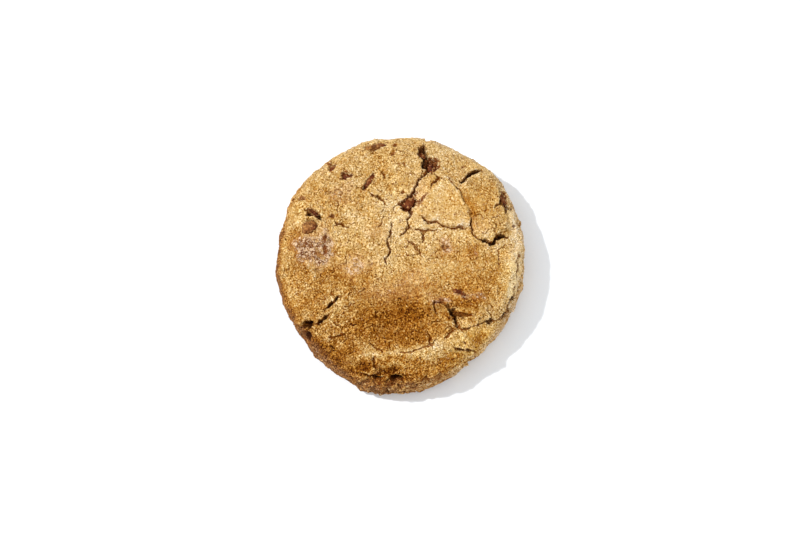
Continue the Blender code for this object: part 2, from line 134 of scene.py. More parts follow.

# Cracks that are open in the crust: route, width at the middle, depth.
CRACKS = {
    "split_top": (((7.6, 38.6), (7.1, 35.7), (7.9, 33.3), (8.5, 30.8), (8.9, 28.4)), 2.0, 2.0),
    "split_middle": (((9.0, 28.6), (7.6, 26.6), (6.0, 25.4), (5.0, 23.1), (4.1, 21.2),
                      (3.6, 19.3)), 0.45, 1.1),
    "split_end": (((3.6, 19.3), (3.4, 17.3), (3.1, 15.2), (3.3, 13.2)), 0.8, 1.2),
    "strip_edge": (((8.9, 28.4), (9.5, 27.7), (11.1, 27.0), (12.2, 25.6), (10.8, 24.2),
                    (9.8, 22.8)), 0.45, 0.9),
    "centre": (((-2.9, 10.8), (-2.6, 8.4), (-3.4, 6.4), (-4.0, 4.4), (-3.6, 2.7), (-3.1, 0.9),
                (-3.9, -0.8), (-4.7, -1.6), (-4.2, -3.2)), 0.38, 0.9),
    "scales": (((3.3, 13.2), (1.9, 12.0), (2.5, 10.5), (2.6, 8.8), (1.5, 7.4), (-0.1, 6.1)), 0.5, 0.8),
    "scales_low": (((2.3, 4.7), (3.8, 3.7), (5.0, 2.4), (5.7, 1.4), (6.5, -0.2)), 0.42, 0.5),
    "scales_across": (((4.4, 8.3), (6.0, 8.0), (7.9, 7.8), (9.8, 7.7), (12.0, 8.2)), 0.46, 0.6),
    "scales_down": (((6.6, 7.1), (7.3, 5.4), (7.1, 4.1)), 0.5, 0.7),
    "fan_foot": (((6.6, 13.0), (7.6, 11.8), (8.5, 10.5), (9.8, 10.3), (11.1, 10.9), (12.7, 10.2),
                  (14.0, 9.2), (16.2, 8.4), (18.7, 9.0), (21.0, 8.9)), 0.5, 0.9),
    "fan_side": (((14.6, 26.0), (16.3, 24.5), (17.6, 22.4), (19.1, 21.4)), 0.34, 0.5),
    "fan_corner": (((22.4, 11.8), (22.2, 9.1), (23.2, 6.8), (24.5, 5.5)), 0.5, 0.7),
    "plate_back": (((19.0, 24.4), (20.6, 25.5), (21.6, 26.9), (22.9, 27.8), (24.5, 28.7),
                    (26.7, 29.1)), 1.2, 1.7),
    "plate_front": (((24.5, 5.5), (26.2, 4.9), (28.0, 4.8), (29.2, 4.5), (30.2, 5.6), (31.5, 6.7),
                     (34.3, 7.0)), 1.0, 1.6),
    "plate_front_up": (((29.6, 4.8), (30.6, 6.4), (31.8, 8.2)), 0.8, 1.4),
    "rim_right": (((31.9, 23.1), (32.7, 22.2), (31.9, 20.8), (32.1, 19.1), (33.4, 17.1),
                   (33.5, 15.1)), 0.8, 1.3),
    "rim_right_in": (((31.9, 18.0), (30.5, 17.1), (29.7, 16.1)), 0.42, 0.9),
    "rim_right_out": (((33.4, 17.1), (34.5, 16.8), (35.5, 16.6), (36.2, 17.8), (37.0, 18.2)), 0.45, 0.9),
    "right_seam_top": (((37.4, 2.4), (36.9, -0.6), (37.0, -3.4), (36.7, -6.6)), 0.34, 0.5),
    "right_seam": (((36.9, -7.4), (36.2, -9.6), (35.7, -11.6), (34.9, -13.4), (33.9, -15.6),
                    (33.0, -17.4), (31.4, -18.8), (30.2, -19.8)), 0.42, 0.7),
    "right_seam_middle": (((35.7, -11.2), (35.0, -12.8), (34.2, -14.6)), 0.9, 1.2),
    "right_seam_low": (((34.0, -16.6), (33.0, -17.6), (32.2, -18.3)), 1.2, 1.4),
    "lower_seam": (((29.9, -20.0), (28.4, -20.2), (26.4, -20.8)), 1.0, 1.1),
    "lower_seam_middle": (((26.4, -20.8), (24.6, -21.6), (23.2, -22.4)), 0.6, 1.0),
    "lower_seam_left": (((22.4, -22.6), (20.6, -23.2), (18.9, -23.8)), 0.5, 0.8),
    "fold_down": (((15.5, -17.5), (16.5, -19.1), (17.5, -20.6), (17.8, -22.2), (18.6, -23.5)), 1.0, 1.3),
    "fold": (((13.4, -16.0), (15.2, -17.2), (17.1, -18.0), (19.0, -18.9), (21.0, -19.3),
              (22.9, -18.7)), 0.7, 0.6),
    "fold_dark": (((14.8, -16.6), (16.4, -17.9), (18.0, -18.3)), 0.8, 0.7),
    "fold_left": (((14.0, -15.6), (12.4, -15.1), (10.9, -15.5), (10.8, -17.3), (11.7, -18.9)), 0.5, 0.9),
    "lower_plate": (((16.8, -24.4), (15.5, -24.9), (14.7, -26.0), (13.6, -26.8)), 0.42, 0.6),
    "lower_arc": (((16.7, -29.2), (18.1, -29.8), (20.0, -29.9), (21.6, -29.1), (22.7, -29.1)), 0.6, 1.0),
    "lower_arc_end": (((22.8, -29.2), (23.4, -30.1), (22.8, -31.0)), 0.9, 1.0),
    "hollow_rim": (((-0.5, -31.2), (3.0, -31.0), (6.5, -30.2), (9.5, -28.9), (11.4, -27.0)), 0.34, 0.5),
    "hollow_rim_left": (((-9.8, -27.6), (-7.6, -29.6), (-5.4, -31.3)), 0.34, 0.5),
    "plate_across": (((22.9, 12.9), (24.4, 13.6), (25.8, 13.2)), 0.3, 0.4),
    "scales_up": (((-2.6, 14.5), (-1.7, 16.2), (-0.8, 17.4), (0.6, 17.9)), 0.4, 0.5),
    "scales_left": (((-6.9, 9.3), (-5.6, 10.9), (-4.8, 12.9)), 0.3, 0.4),
    "middle_low": (((8.5, -24.4), (9.3, -25.8), (9.5, -27.3), (9.5, -28.5), (10.1, -29.5)), 0.38, 0.6),
    "lower_left": (((-18.5, -13.4), (-19.8, -13.3), (-20.3, -14.5), (-21.4, -15.6), (-22.8, -16.6),
                    (-23.9, -17.9)), 0.8, 1.3),
    "lower_left_end": (((-22.4, -19.0), (-24.4, -20.1), (-27.0, -21.5)), 0.9, 1.2),
    "left_hole": (((-31.4, -21.7), (-30.0, -21.1), (-29.0, -21.7), (-27.6, -20.6)), 1.2, 1.6),
    "small_left": (((-16.9, -24.9), (-18.8, -25.5), (-20.1, -25.9), (-21.7, -25.9),
                    (-22.2, -27.0)), 0.54, 0.6),
    "upper_left": (((-9.9, 21.0), (-8.7, 20.5), (-7.4, 19.7), (-6.1, 18.7), (-5.1, 17.7)), 0.7, 0.8),
    "upper_middle": (((-6.1, 28.4), (-5.3, 27.1), (-4.8, 25.9)), 0.65, 0.7),
    "left_gap": (((-30.5, 16.3), (-29.4, 15.2), (-28.1, 14.0), (-26.5, 13.4), (-24.9, 12.0)), 1.3, 1.5),
    "left_thread": (((-20.8, 11.5), (-19.8, 10.8), (-18.5, 10.7), (-17.3, 9.7), (-16.3, 9.5)), 0.6, 0.8),
    "front_edge": (((-8.0, -32.4), (-8.2, -33.7), (-8.3, -34.8), (-7.5, -36.1)), 0.6, 1.0),
    "front_left_lip": (((-26.8, -29.5), (-24.9, -31.5), (-23.0, -32.9), (-20.8, -34.0)), 0.8, 1.1),
    "wall_left": (((-12.5, -37.0), (-10.9, -37.6), (-9.0, -37.9), (-7.1, -38.6),
                   (-5.2, -38.5)), 0.8, 1.2),
    "wall_middle": (((-3.9, -39.3), (-2.6, -39.0), (-1.0, -38.4), (0.6, -39.1), (1.1, -40.0)), 0.9, 1.2),
    "wall_low": (((-8.5, -40.4), (-6.6, -40.9), (-4.4, -40.9), (-2.6, -40.7)), 0.9, 1.2),
    "wall_right": (((7.0, -38.6), (9.5, -38.3), (12.2, -37.2), (14.2, -36.6)), 0.7, 1.0),
}
CRACK_SEED = 200
CRACK_STEP = 0.8  # a crack bends after each such length
CRACK_FRAY = 0.45  # by going this far off its route
CRACK_WANDER = ((1.7, 0.6, 0), (0.8, 0.5, 1))  # how its width varies: size, share, and what its seed adds
CRACK_TAPER = 1.8  # it narrows over this length at its ends
CRACK_END = 0.3  # to this share of its width
CRACK_LEAST = 0.1  # and is nowhere under this share of it
CRACK_WALL = 0.22  # its wall slopes over this width
CRACK_LIP = 0.20  # the crust curls up by this much beside it
LIP_BAND = (0.25, 0.5)  # that far from its wall, and this wide
HAIRLINE = 0.66  # a crack under this width is a plain V, with no floor
GATHER_REACH = 1.5  # within this distance of a crack's wall the surface's points are drawn to it
GATHER_POWER = 1.55  # how strongly: with 1 they would stay where they are
GATHER_LEAST = 0.02  # a point this close to a crack's middle stays where it is
GAP_SHARES = (0.55, 0.45)  # how dark the painted shade in a crack is at its ends, and what is added at its middle
GAP_DEEPEST = 1.3  # past this depth its painted shade grows no darker

# Hairlines besides these, each wandering its own way over the crust.
HAIRLINE_COUNT = 46
HAIRLINE_STEPS = (3, 8)  # at least the first, and fewer than the second
HAIRLINE_STEP = 0.8
HAIRLINE_TURN = 55.0  # the most that it turns at a step
HAIRLINE_WIDTH = (0.12, 0.26)
HAIRLINE_DEPTH = (0.2, 0.4)
HAIRLINE_MARGIN = 5  # none starts this close to the rim
HAIRLINE_SEED = 31

# Small holes in the crust: centre, radius, depth.
PITS = {
    "front_a": ((12.4, -37.2), 0.5, 0.8),
    "right_a": ((36.1, 11.3), 0.45, 0.8),
    "right_b": ((37.7, 12.4), 0.4, 0.8),
    "front_b": ((20.2, -27.4), 0.4, 0.7),
    "hollow": ((-5.2, -22.9), 0.4, 0.7),
    "back_right": ((20.2, 30.9), 0.4, 0.8),
    "left_a": ((-31.4, 20.2), 0.8, 1.0),
    "left_b": ((-22.4, 21.6), 0.4, 0.7),
    "left_c": ((-21.6, 13.5), 0.6, 0.7),
    "back_a": ((-1.8, 38.3), 0.5, 0.8),
    "back_b": ((-2.3, 34.6), 0.6, 0.7),
    "middle": ((1.0, 21.1), 0.6, 0.8),
    "edge_hole": ((-30.0, -24.5), 1.6, 2.2),
}
PIT_EDGE = 1.6  # a hole's wall starts this far out, as a share of its radius
PIT_FRAY = 0.4  # how far its edge wanders
PIT_FOOT = 3.5  # no hole reaches down to this height, and they are whole from PIT_FADE above it
PIT_FADE = 2.5

# Chocolate that shows: centre, length and width, turn, how far it stands proud of the crust, how much of
# the crust's own film covers it, and the share of its length and width that the crust leaves open.
CHUNKS = {
    "chunk_centre": ((2.7, 17.6), (4.8, 3.6), 55, -0.1, 0.0, (1.15, 1.1)),
    "chunk_split": ((10.2, 30.8), (4.6, 3.2), 80, -0.5, 0.0, (1.15, 1.25)),
    "chunk_nick": ((6.9, 35.4), (3.2, 2.0), 105, -0.6, 0.0, (1.2, 1.0)),
    "chunk_sliver": ((-9.9, 25.4), (6.0, 1.8), 60, 0.1, 0.0, (0.95, 0.75)),
    "chunk_back_left": ((-17.3, 27.0), (3.2, 2.6), -35, -0.1, 0.0, (1.1, 1.1)),
    "chunk_rim_left": ((-22.0, 31.1), (3.0, 2.0), 70, -0.1, 0.0, (1.1, 1.1)),
    "chunk_left_gap": ((-27.4, 14.9), (3.2, 2.2), -40, -0.1, 0.0, (1.1, 0.65)),
    "chunk_left_lump": ((-28.6, 9.6), (5.0, 3.8), 15, 0.5, 1.0, (0.85, 0.85)),
    "chunk_rim_right": ((33.4, 20.4), (4.4, 1.9), -72, -0.1, 0.2, (1.2, 1.0)),
    "chunk_middle": ((14.7, 2.7), (3.0, 2.6), 10, -0.1, 0.9, (0.45, 0.35)),
    "chunk_brow": ((18.7, -12.3), (5.2, 2.1), -20, 0.1, 0.0, (0.9, 0.45)),
    "chunk_back_rim": ((-8.0, 38.0), (6.6, 2.2), 10, 0.3, 1.5, (1.1, 1.1)),
}
OPENING_DEPTH = 2.0
OPENING_FRAY = 0.28  # how far its edge wanders, as a share of the opening
OPENING_RIM = 1.15  # the crust starts to drop this far out, as a share of the opening
OPENING_EDGE = 0.3  # and has dropped to the chocolate after this share
MELT_REACH = 1.25  # chocolate has soaked into the crust up to here, as a share of the opening
FILM_HOLD = 0.3  # and by so much less where a film covers it

# Slivers of chocolate too small for a chunk, level with the crust: centre, half widths, turn.
SLIVERS = {
    "fan_edge": ((7.0, 18.4), (1.8, 0.7), 55),
    "fan_edge_low": ((8.6, 20.3), (0.8, 0.35), 40),
    "centre_tail": ((3.3, 13.9), (0.5, 1.1), 0),
    "right": ((31.1, -1.1), (0.22, 2.3), 3),
    "brow_right": ((21.6, -13.2), (0.9, 0.3), -30),
    "brow_left": ((12.6, -14.6), (1.1, 0.4), -15),
    "left_strip_high": ((-23.6, 5.9), (0.45, 1.4), -10),
    "left_strip_low": ((-23.6, 1.9), (0.5, 1.1), 0),
    "middle": ((13.7, 2.6), (0.45, 1.0), 25),
    "plate_back": ((22.6, 27.5), (1.7, 0.45), 35),
    "loop": ((-22.0, 13.3), (0.9, 0.3), 20),
    "rim_left": ((-23.0, 32.2), (0.6, 0.5), 0),
    "split_foot": ((9.4, 27.9), (1.0, 0.5), -40),
}
SLIVER_RIM = 1.4  # the crust starts to dip this far out, as a share of the sliver
SLIVER_DEPTH = 0.5

# Nicks in the rim: where they point, their width, their depth, and the heights they span.
RIM_NICKS = {
    "split": (79.0, 2.6, 1.5, (3.0, 20.0)),
    "right": (0.5, 2.4, 1.1, (2.0, 14.0)),
    "front_right": (-54.5, 3.8, 3.4, (-3.0, 10.0)),
    "corner": (-49.0, 3.0, 0.8, (2.0, 12.0)),
    "seam_end": (-24.5, 2.6, 1.8, (-0.5, 13.0)),
}
NICK_WANDER = 0.6  # how far it wanders from side to side on its way up
NICK_FRAY = 2.0  # and how ragged it is, as a share of that
NICK_FADE = 4.0  # a nick runs out over this height at its ends

# Splits round the side, under the lifted crust: from and to which angle, height, wave, width, depth.
SIDE_SPLITS = {
    "right": ((-38, 14), 10.5, 1.2, 1.6, 1.3),
    "back_right": ((33, 72), 9.0, 1.4, 1.4, 1.1),
    "back": ((92, 148), 10.0, 1.6, 1.5, 1.2),
    "left": ((160, 206), 8.5, 1.3, 1.5, 1.2),
    "front_left": ((214, 243), 9.5, 1.0, 1.6, 1.4),
    "left_brow": ((126, 158), 12.6, 0.4, 0.9, 0.7),
    "left_brow_low": ((148, 176), 11.0, 0.5, 0.9, 0.7),
    "lower_right": ((292, 326), 9.6, 0.5, 1.2, 0.9),
    "front": ((252, 276), 6.0, 0.9, 1.8, 1.6),
}
SPLIT_TAPER = 4.0  # a split fades out over this length at its ends
SPLIT_WAVES = ((7.0, 1.0, 61), (2.2, 0.6, 62))  # how its height wanders: size, share, seed
SPLIT_WIDTHS = ((3.0, 1.0, 63),)  # how its width wanders
SPLIT_USUAL = 0.8  # its usual width, as a share of the table's
SPLIT_LEAST = 0.1  # and its least
SPLIT_DARKNESS = 0.25  # of the painted shade inside it, for each millimetre of its depth

# Crumb of the surface: size of a crag, its height on the top, its height on the side, and its seed.
CRAGS = (
    (9.0, 0.55, 0.60, 11),
    (4.2, 0.42, 0.62, 23),
    (2.1, 0.22, 0.36, 37),
    (1.1, 0.14, 0.24, 51),
    (0.65, 0.09, 0.11, 67),
)
FINE_CRAG = 2.5  # crags up to this size are what a crumbled patch has more of
SIDE_LAYERING = 1.7  # the crumb lies in layers: it is this many times wider than high
NOISE_CELLS = 64  # the random values repeat after this many crags
STRAY = ((1.5, 1.0, 81), (0.7, 0.6, 83))  # how edges wander: size, reach, seed

# Patches where the crust has crumbled (+) or is smoother (-): centre, half widths, turn, and by how much.
CRUMBLED = {
    "front_side": ((-5.0, -38.5), (9.0, 3.5), 0, 2.0),
    "front_ridge": ((2.0, -33.5), (19.0, 3.0), 5, 0.5),
    "fan": ((13.0, 16.5), (8.0, 9.0), 30, -0.60),
    "right_plate": ((27.0, 15.0), (6.0, 10.0), 0, -0.35),
    "right_middle": ((18.0, -3.0), (11.0, 7.0), 0, -0.30),
    "left_smear": ((-27.3, 2.0), (5.4, 7.6), -5, 2.2),
    "left_low": ((-14.4, -3.3), (4.0, 2.2), 10, 0.5),
    "lower_left": ((-19.0, -27.0), (7.0, 5.0), 40, 0.7),
    "right_tier": ((19.0, -31.0), (7.0, 3.0), 25, 0.8),
    "back_left": ((-20.0, 20.0), (4.0, 4.0), 0, 0.6),
}


def unit(turn):
    """The direction of a turn in the plan."""
    return math.cos(math.radians(turn)), math.sin(math.radians(turn))


def hairlines():
    """Short hairlines, each a random walk with its own width and depth."""
    random = np.random.default_rng(HAIRLINE_SEED)
    made = {}
    for number in range(HAIRLINE_COUNT):
        reach = (MEAN_RADIUS - HAIRLINE_MARGIN) * math.sqrt(random.uniform(0, 1))
        place = reach * np.array(unit(random.uniform(0, 360)))
        turn = random.uniform(0, 360)
        route = [place]
        for _ in range(random.integers(*HAIRLINE_STEPS)):
            turn += random.uniform(-HAIRLINE_TURN, HAIRLINE_TURN)
            place = place + HAIRLINE_STEP * np.array(unit(turn))
            route.append(place)
        width, depth = random.uniform(*HAIRLINE_WIDTH), random.uniform(*HAIRLINE_DEPTH)
        made[f"hairline_{number}"] = (route, width, depth)
    return made


CRACKS.update(hairlines())


def outline_radius(angle):
    """Radius of the waist, seen from above, at an angle in radians."""
    radius = MEAN_RADIUS
    for lobes, size, towards in OUTLINE_LOBES:
        radius = radius + size * np.cos(lobes * (angle - math.radians(towards)))
    return radius


def dome(share):
    """Height of the smooth top, a superellipse, at a share of the radius."""
    left = np.clip(1 - np.asarray(share, float) ** DOME_POWER, 0, 1)
    return WAIST_HEIGHT + (DOUGH_HEIGHT - WAIST_HEIGHT) * left ** (1 / DOME_POWER)


def meridian():
    """The smooth outline from the middle of the top to the base's edge: its shares of the radius and
    heights."""
    turn = np.linspace(0, math.pi / 2, PROFILE_STEPS)
    upper = np.sin(turn) ** (2 / DOME_POWER)
    lower = BASE_SHARE + (1 - BASE_SHARE) * np.cos(turn[1:]) ** (2 / FOOT_POWER)
    share = np.concatenate([upper, lower])
    height = np.concatenate([dome(upper), WAIST_HEIGHT * (1 - np.sin(turn[1:]) ** (2 / FOOT_POWER))])
    length = np.concatenate([[0], np.cumsum(np.hypot(np.diff(share) * MEAN_RADIUS, np.diff(height)))])
    rows = np.linspace(0, length[-1], round(length[-1] / ROW_STEP) + 1)
    return np.interp(rows, length, share), np.interp(rows, length, height)


def smooth(value):
    """Eases from 0 to 1 as the value goes from 0 to 1."""
    value = np.clip(value, 0, 1)
    return value * value * (3 - 2 * value)


def band(value, middle, width):
    """1 where a value is at the middle of a band, and less and less away from it."""
    return np.exp(-(((value - middle) / width) ** 2))


def lattice_noise(points, size, seed):
    """Smooth noise from -1 to 1: a random value at each corner of a grid, eased between the corners."""
    corners = np.random.default_rng(seed).uniform(-1, 1, (NOISE_CELLS,) * 3)
    grid = points / size
    cell = np.floor(grid).astype(int)
    part = grid - cell
    part = part * part * (3 - 2 * part)
    total = np.zeros(len(points))
    for corner in itertools.product((0, 1), repeat=3):
        value = corners[tuple((cell + corner).T % NOISE_CELLS)]
        total += value * np.prod(np.where(corner, part, 1 - part), axis=1)
    return total


def flat_noise(plan, layers, seed_step=0):
    """The same noise over a plan, summed from layers: their size, share and seed."""
    flat = np.column_stack([plan, np.zeros(len(plan))])
    return sum(share * lattice_noise(flat, size, seed + seed_step) for size, share, seed in layers)


def drift(plan, layers):
    """How far each point strays in X and in Y. Y's noise has the seed after X's."""
    return np.column_stack([flat_noise(plan, layers), flat_noise(plan, layers, 1)])


def trace(plan, route):
    """For each point: the way to the nearest point of an open route, its distance, which hand of the
    route it is on (-1 or 1) and its place along the route. The route's length comes last."""
    way = np.zeros((len(plan), 2))
    nearest = np.full(len(plan), np.inf)
    hand = np.ones(len(plan))
    place = np.zeros(len(plan))
    passed = 0.0
    for start, end in itertools.pairwise(np.array(route, float)):
        run = end - start
        length = np.linalg.norm(run)
        along = np.clip((plan - start) @ run / length**2, 0, 1)
        across = start + along[:, None] * run - plan
        gap = np.linalg.norm(across, axis=1)
        closer = gap < nearest
        nearest[closer] = gap[closer]
        way[closer] = across[closer]
        hand[closer] = np.sign(run[0] * across[closer, 1] - run[1] * across[closer, 0])
        place[closer] = passed + along[closer] * length
        passed += length
    return way, nearest, hand, place, passed


def close_to(plan, corners, reach):
    """Numbers of the points that lie within `reach` of the box round some corners."""
    low = np.min(corners, axis=0) - reach
    high = np.max(corners, axis=0) + reach
    return np.flatnonzero(np.all((plan > low) & (plan < high), axis=1))


def depth_inside(plan, corners):
    """Distance from each point to a closed outline, positive inside it."""
    gap = trace(plan, (*corners, corners[0]))[1]
    inside = np.zeros(len(plan), bool)
    for (x0, y0), (x1, y1) in itertools.pairwise((*corners, corners[0])):
        crosses = (plan[:, 1] < y0) != (plan[:, 1] < y1)
        reach = x0 + (plan[:, 1] - y0) / ((y1 - y0) or 1) * (x1 - x0)
        inside ^= crosses & (plan[:, 0] < reach)
    return np.where(inside, gap, -gap)


def oval(plan, centre, half, turn):
    """How far out each point is from a turned oval's centre: 1 on the oval."""
    across = plan - centre
    cos, sin = unit(turn)
    along = (across[:, 0] * cos + across[:, 1] * sin) / half[0]
    aside = (across[:, 1] * cos - across[:, 0] * sin) / half[1]
    return np.hypot(along, aside)


def swell(plan, centre, half, turn, height):
    """A rise that falls off all round, as sand does."""
    return height * np.exp(-(oval(plan, centre, half, turn) ** 2))


def ridge(plan, route, width, height):
    """A rise along a route."""
    return height * np.exp(-((trace(plan, route)[1] * 2 / width) ** 2))


def patch(plan, centre, half, turn, amount):
    """A patch that is even in its middle."""
    return amount * np.exp(-(oval(plan, centre, half, turn) ** 4))


def summed(shape, plan, table):
    """What the entries of a table add up to, each as the same kind of shape."""
    return sum(shape(plan, *sizes) for sizes in table.values())


def flake(inside, height):
    """A raised flake, from how far inside its outline each point is: it steps up at its edge and stands
    highest just inside it."""
    step = np.clip(inside / FLAKE_EDGE + 0.5, 0, 1)
    curl = np.exp(-((np.maximum(inside, 0) - 2 * FLAKE_EDGE) ** 2) / FLAKE_CURL)
    inner, edge = FLAKE_HEIGHTS
    return height * step * (inner + edge * curl)


def flake_painted_light(plan, inside, corners):
    """Painted light along a flake's outline: a painted highlight just inside it, and a painted shadow
    outside it on the side away from the key light."""
    out = plan - np.mean(corners, axis=0)
    shadowed = np.clip(SHADOW_SIDE_SHARE + out @ AWAY_FROM_KEY / np.linalg.norm(out, axis=1), 0, 1)
    brown = shadowed * band(inside, *SHADOW_BAND) * (inside < 0)
    return brown - HIGHLIGHT_SHARE * band(inside, *HIGHLIGHT_BAND) * (inside > 0)


def flakes(plan, stray):
    """How high the flakes stand, and the painted shadow and highlight along their edges."""
    shape = np.zeros(len(plan))
    painted_edge_light = np.zeros(len(plan))
    for corners, height in FLAKES.values():
        inside = depth_inside(plan + FLAKE_FRAY * stray, corners)
        shape += flake(inside, height)
        painted_edge_light += height * flake_painted_light(plan, inside, corners)
    return shape, painted_edge_light


def frayed(route, seed):
    """A route with a point every step, each set a little to the side."""
    random = np.random.default_rng(seed)
    points = []
    for start, end in itertools.pairwise(np.array(route, float)):
        count = max(1, round(np.linalg.norm(end - start) / CRACK_STEP))
        points += [start + (end - start) * i / count for i in range(count)]
    points = np.array([*points, route[-1]])
    points[1:-1] += random.uniform(-CRACK_FRAY, CRACK_FRAY, points[1:-1].shape)
    return points


def each_crack(plan):
    """The cracks, each with the points near it: their numbers, the way to the crack's middle, the
    distance to it, which hand of it they are on, the crack's half width there, and how far it is from
    petering out."""
    for seed, (route, width, depth) in enumerate(CRACKS.values(), start=CRACK_SEED):
        crack = types.SimpleNamespace(width=width, depth=depth)
        route = frayed(route, seed)
        crack.near = close_to(plan, route, width + GATHER_REACH)
        crack.way, crack.gap, crack.hand, place, length = trace(plan[crack.near], route)
        taper = np.minimum(place, length - place) / min(CRACK_TAPER, length / 2) + CRACK_END
        crack.taper = np.clip(taper, 0, 1)
        wander = 1 + flat_noise(plan[crack.near], CRACK_WANDER, seed)
        crack.half = width / 2 * crack.taper * np.maximum(wander, CRACK_LEAST)
        yield crack


def gathered(plan):
    """The points' places after those near a crack are drawn to its walls, or a hairline's to its middle,
    so that the crack comes out sharp."""
    closest = np.full(len(plan), GATHER_REACH)
    shift = np.zeros((len(plan), 2))
    for crack in each_crack(plan):
        off = crack.gap - (crack.half if crack.width > HAIRLINE else 0)
        far = np.abs(off)
        moved = np.sign(off) * GATHER_REACH * (far / GATHER_REACH) ** GATHER_POWER
        step = crack.way * ((off - moved) / np.maximum(crack.gap, 1e-6))[:, None]
        first = (far < closest[crack.near]) & (crack.gap > GATHER_LEAST)
        closest[crack.near[first]] = far[first]
        shift[crack.near[first]] = step[first]
    return plan + shift


def crack_marks(plan):
    """For each point, how far it is across the nearest crack, with a sign that changes from one hand of
    the crack to the other, and the crack's half width, less and less away from it. Between two points of
    the surface both change evenly, so a crack narrower than the points' spacing still shows."""
    across = np.full(len(plan), GATHER_REACH)
    room = np.full(len(plan), -GATHER_REACH)
    for crack in each_crack(plan):
        left = crack.half - np.maximum(crack.gap - crack.half, 0)
        better = left > room[crack.near]
        room[crack.near[better]] = left[better]
        across[crack.near[better]] = (crack.gap * crack.hand)[better]
    return across, room


def cracks(plan):
    """How far the crust curls up or drops at its cracks, and how deep in one each point is."""
    shape = np.zeros(len(plan))
    gap = np.zeros(len(plan))
    at_ends, at_middle = GAP_SHARES
    for crack in each_crack(plan):
        opened = smooth(0.5 + (crack.half - crack.gap) / CRACK_WALL)
        # How dark the crack is painted, standing for the shade inside it.
        dark = opened * (at_ends + at_middle * crack.taper) * min(GAP_DEEPEST, crack.depth)
        gap[crack.near] = np.maximum(gap[crack.near], dark)
        lip = CRACK_LIP * band(crack.gap - crack.half, *LIP_BAND) * crack.taper * (crack.gap > crack.half)
        shape[crack.near] += lip - crack.depth * opened * (0.5 + 0.5 * crack.taper)
    return shape, gap


def pits(points, plan, stray):
    """How deep the small holes are, and how far into one each point is."""
    depths = np.zeros(len(plan))
    inside = np.zeros(len(plan))
    for centre, radius, depth in PITS.values():
        hole = smooth(PIT_EDGE - oval(plan + PIT_FRAY * stray, centre, (radius, radius), 0))
        hole *= smooth((points[:, 2] - PIT_FOOT) / PIT_FADE)
        depths += depth * hole
        inside = np.maximum(inside, hole * max(1, radius))
    return depths, inside


def openings(plan, stray):
    """How deep the crust opens over chocolate, and how far inside a place where it shows each point
    is."""
    depths = np.zeros(len(plan))
    bare = np.full(len(plan), -1.0)
    fray = OPENING_FRAY * (stray[:, 0] + stray[:, 1])
    for centre, size, turn, _, film, opening in CHUNKS.values():
        half = np.array(size) / 2 * opening
        out = oval(plan, centre, half, turn) + fray
        depths += OPENING_DEPTH * smooth((OPENING_RIM - out) / OPENING_EDGE)
        bare = np.maximum(bare, (MELT_REACH - FILM_HOLD * min(film, 1) - out) * min(half))
    for centre, half, turn in SLIVERS.values():
        out = oval(plan, centre, half, turn) + fray
        depths += SLIVER_DEPTH * smooth(SLIVER_RIM - out)
        bare = np.maximum(bare, (MELT_REACH - out) * min(half))
    return depths, bare


def side_split(points, angle, span, height, wave, width, depth):
    """A ragged groove that runs round the side at about one height, fading out at its ends."""
    start, end = map(math.radians, span)
    past = (angle - start) % (2 * math.pi)
    fade = np.clip(np.minimum(past, end - start - past) * MEAN_RADIUS / SPLIT_TAPER, 0, 1)
    middle = height + wave * flat_noise(points[:, :2], SPLIT_WAVES)
    opened = np.maximum(width * (SPLIT_USUAL + flat_noise(points[:, :2], SPLIT_WIDTHS)), SPLIT_LEAST)
    share = np.clip(1 - np.abs(points[:, 2] - middle) * 2 / opened, 0, 1)
    return depth * fade * share * (2 - share)


def nicks(points, angle, stray):
    """How deep the nicks cut into the rim."""
    depths = np.zeros(len(points))
    for towards, width, depth, (low, high) in RIM_NICKS.values():
        wander = np.sin(points[:, 2] + towards) + NICK_FRAY * stray[:, 0]
        bent = angle + NICK_WANDER / MEAN_RADIUS * wander
        away = (bent - math.radians(towards) + math.pi) % (2 * math.pi) - math.pi
        beside = np.clip(1 - np.abs(away) * MEAN_RADIUS * 2 / width, 0, 1)
        between = smooth((points[:, 2] - low) / NICK_FADE) * smooth((high - points[:, 2]) / NICK_FADE)
        depths += depth * beside * between
    return depths


def crumbling(points):
    """How much rougher than the rest the crust is, or how much smoother where it is under 0."""
    return summed(swell, points[:, :2] - CRUST_MIDDLE, CRUMBLED)


def crags(points, side):
    """The uneven crumb all over: rounder on the top, deeper and in layers on the side. The share of it
    that is fine comes second."""
    coarse = np.zeros(len(points))
    fine = np.zeros(len(points))
    layered = points * (1, 1, SIDE_LAYERING)
    rougher = 1 + crumbling(points)
    for size, top_height, side_height, seed in CRAGS:
        height = top_height * (1 - side) + side_height * side
        height = height * lattice_noise(layered, size, seed)
        if size < FINE_CRAG:
            fine += height * rougher
        else:
            coarse += height
    return coarse + fine, fine


def sideness(normals, start=1.0):
    """0 on the top and 1 on the side, from how steep the smooth body is."""
    return np.clip(start - normals[:, 2] * SIDE_FADE, 0, 1)


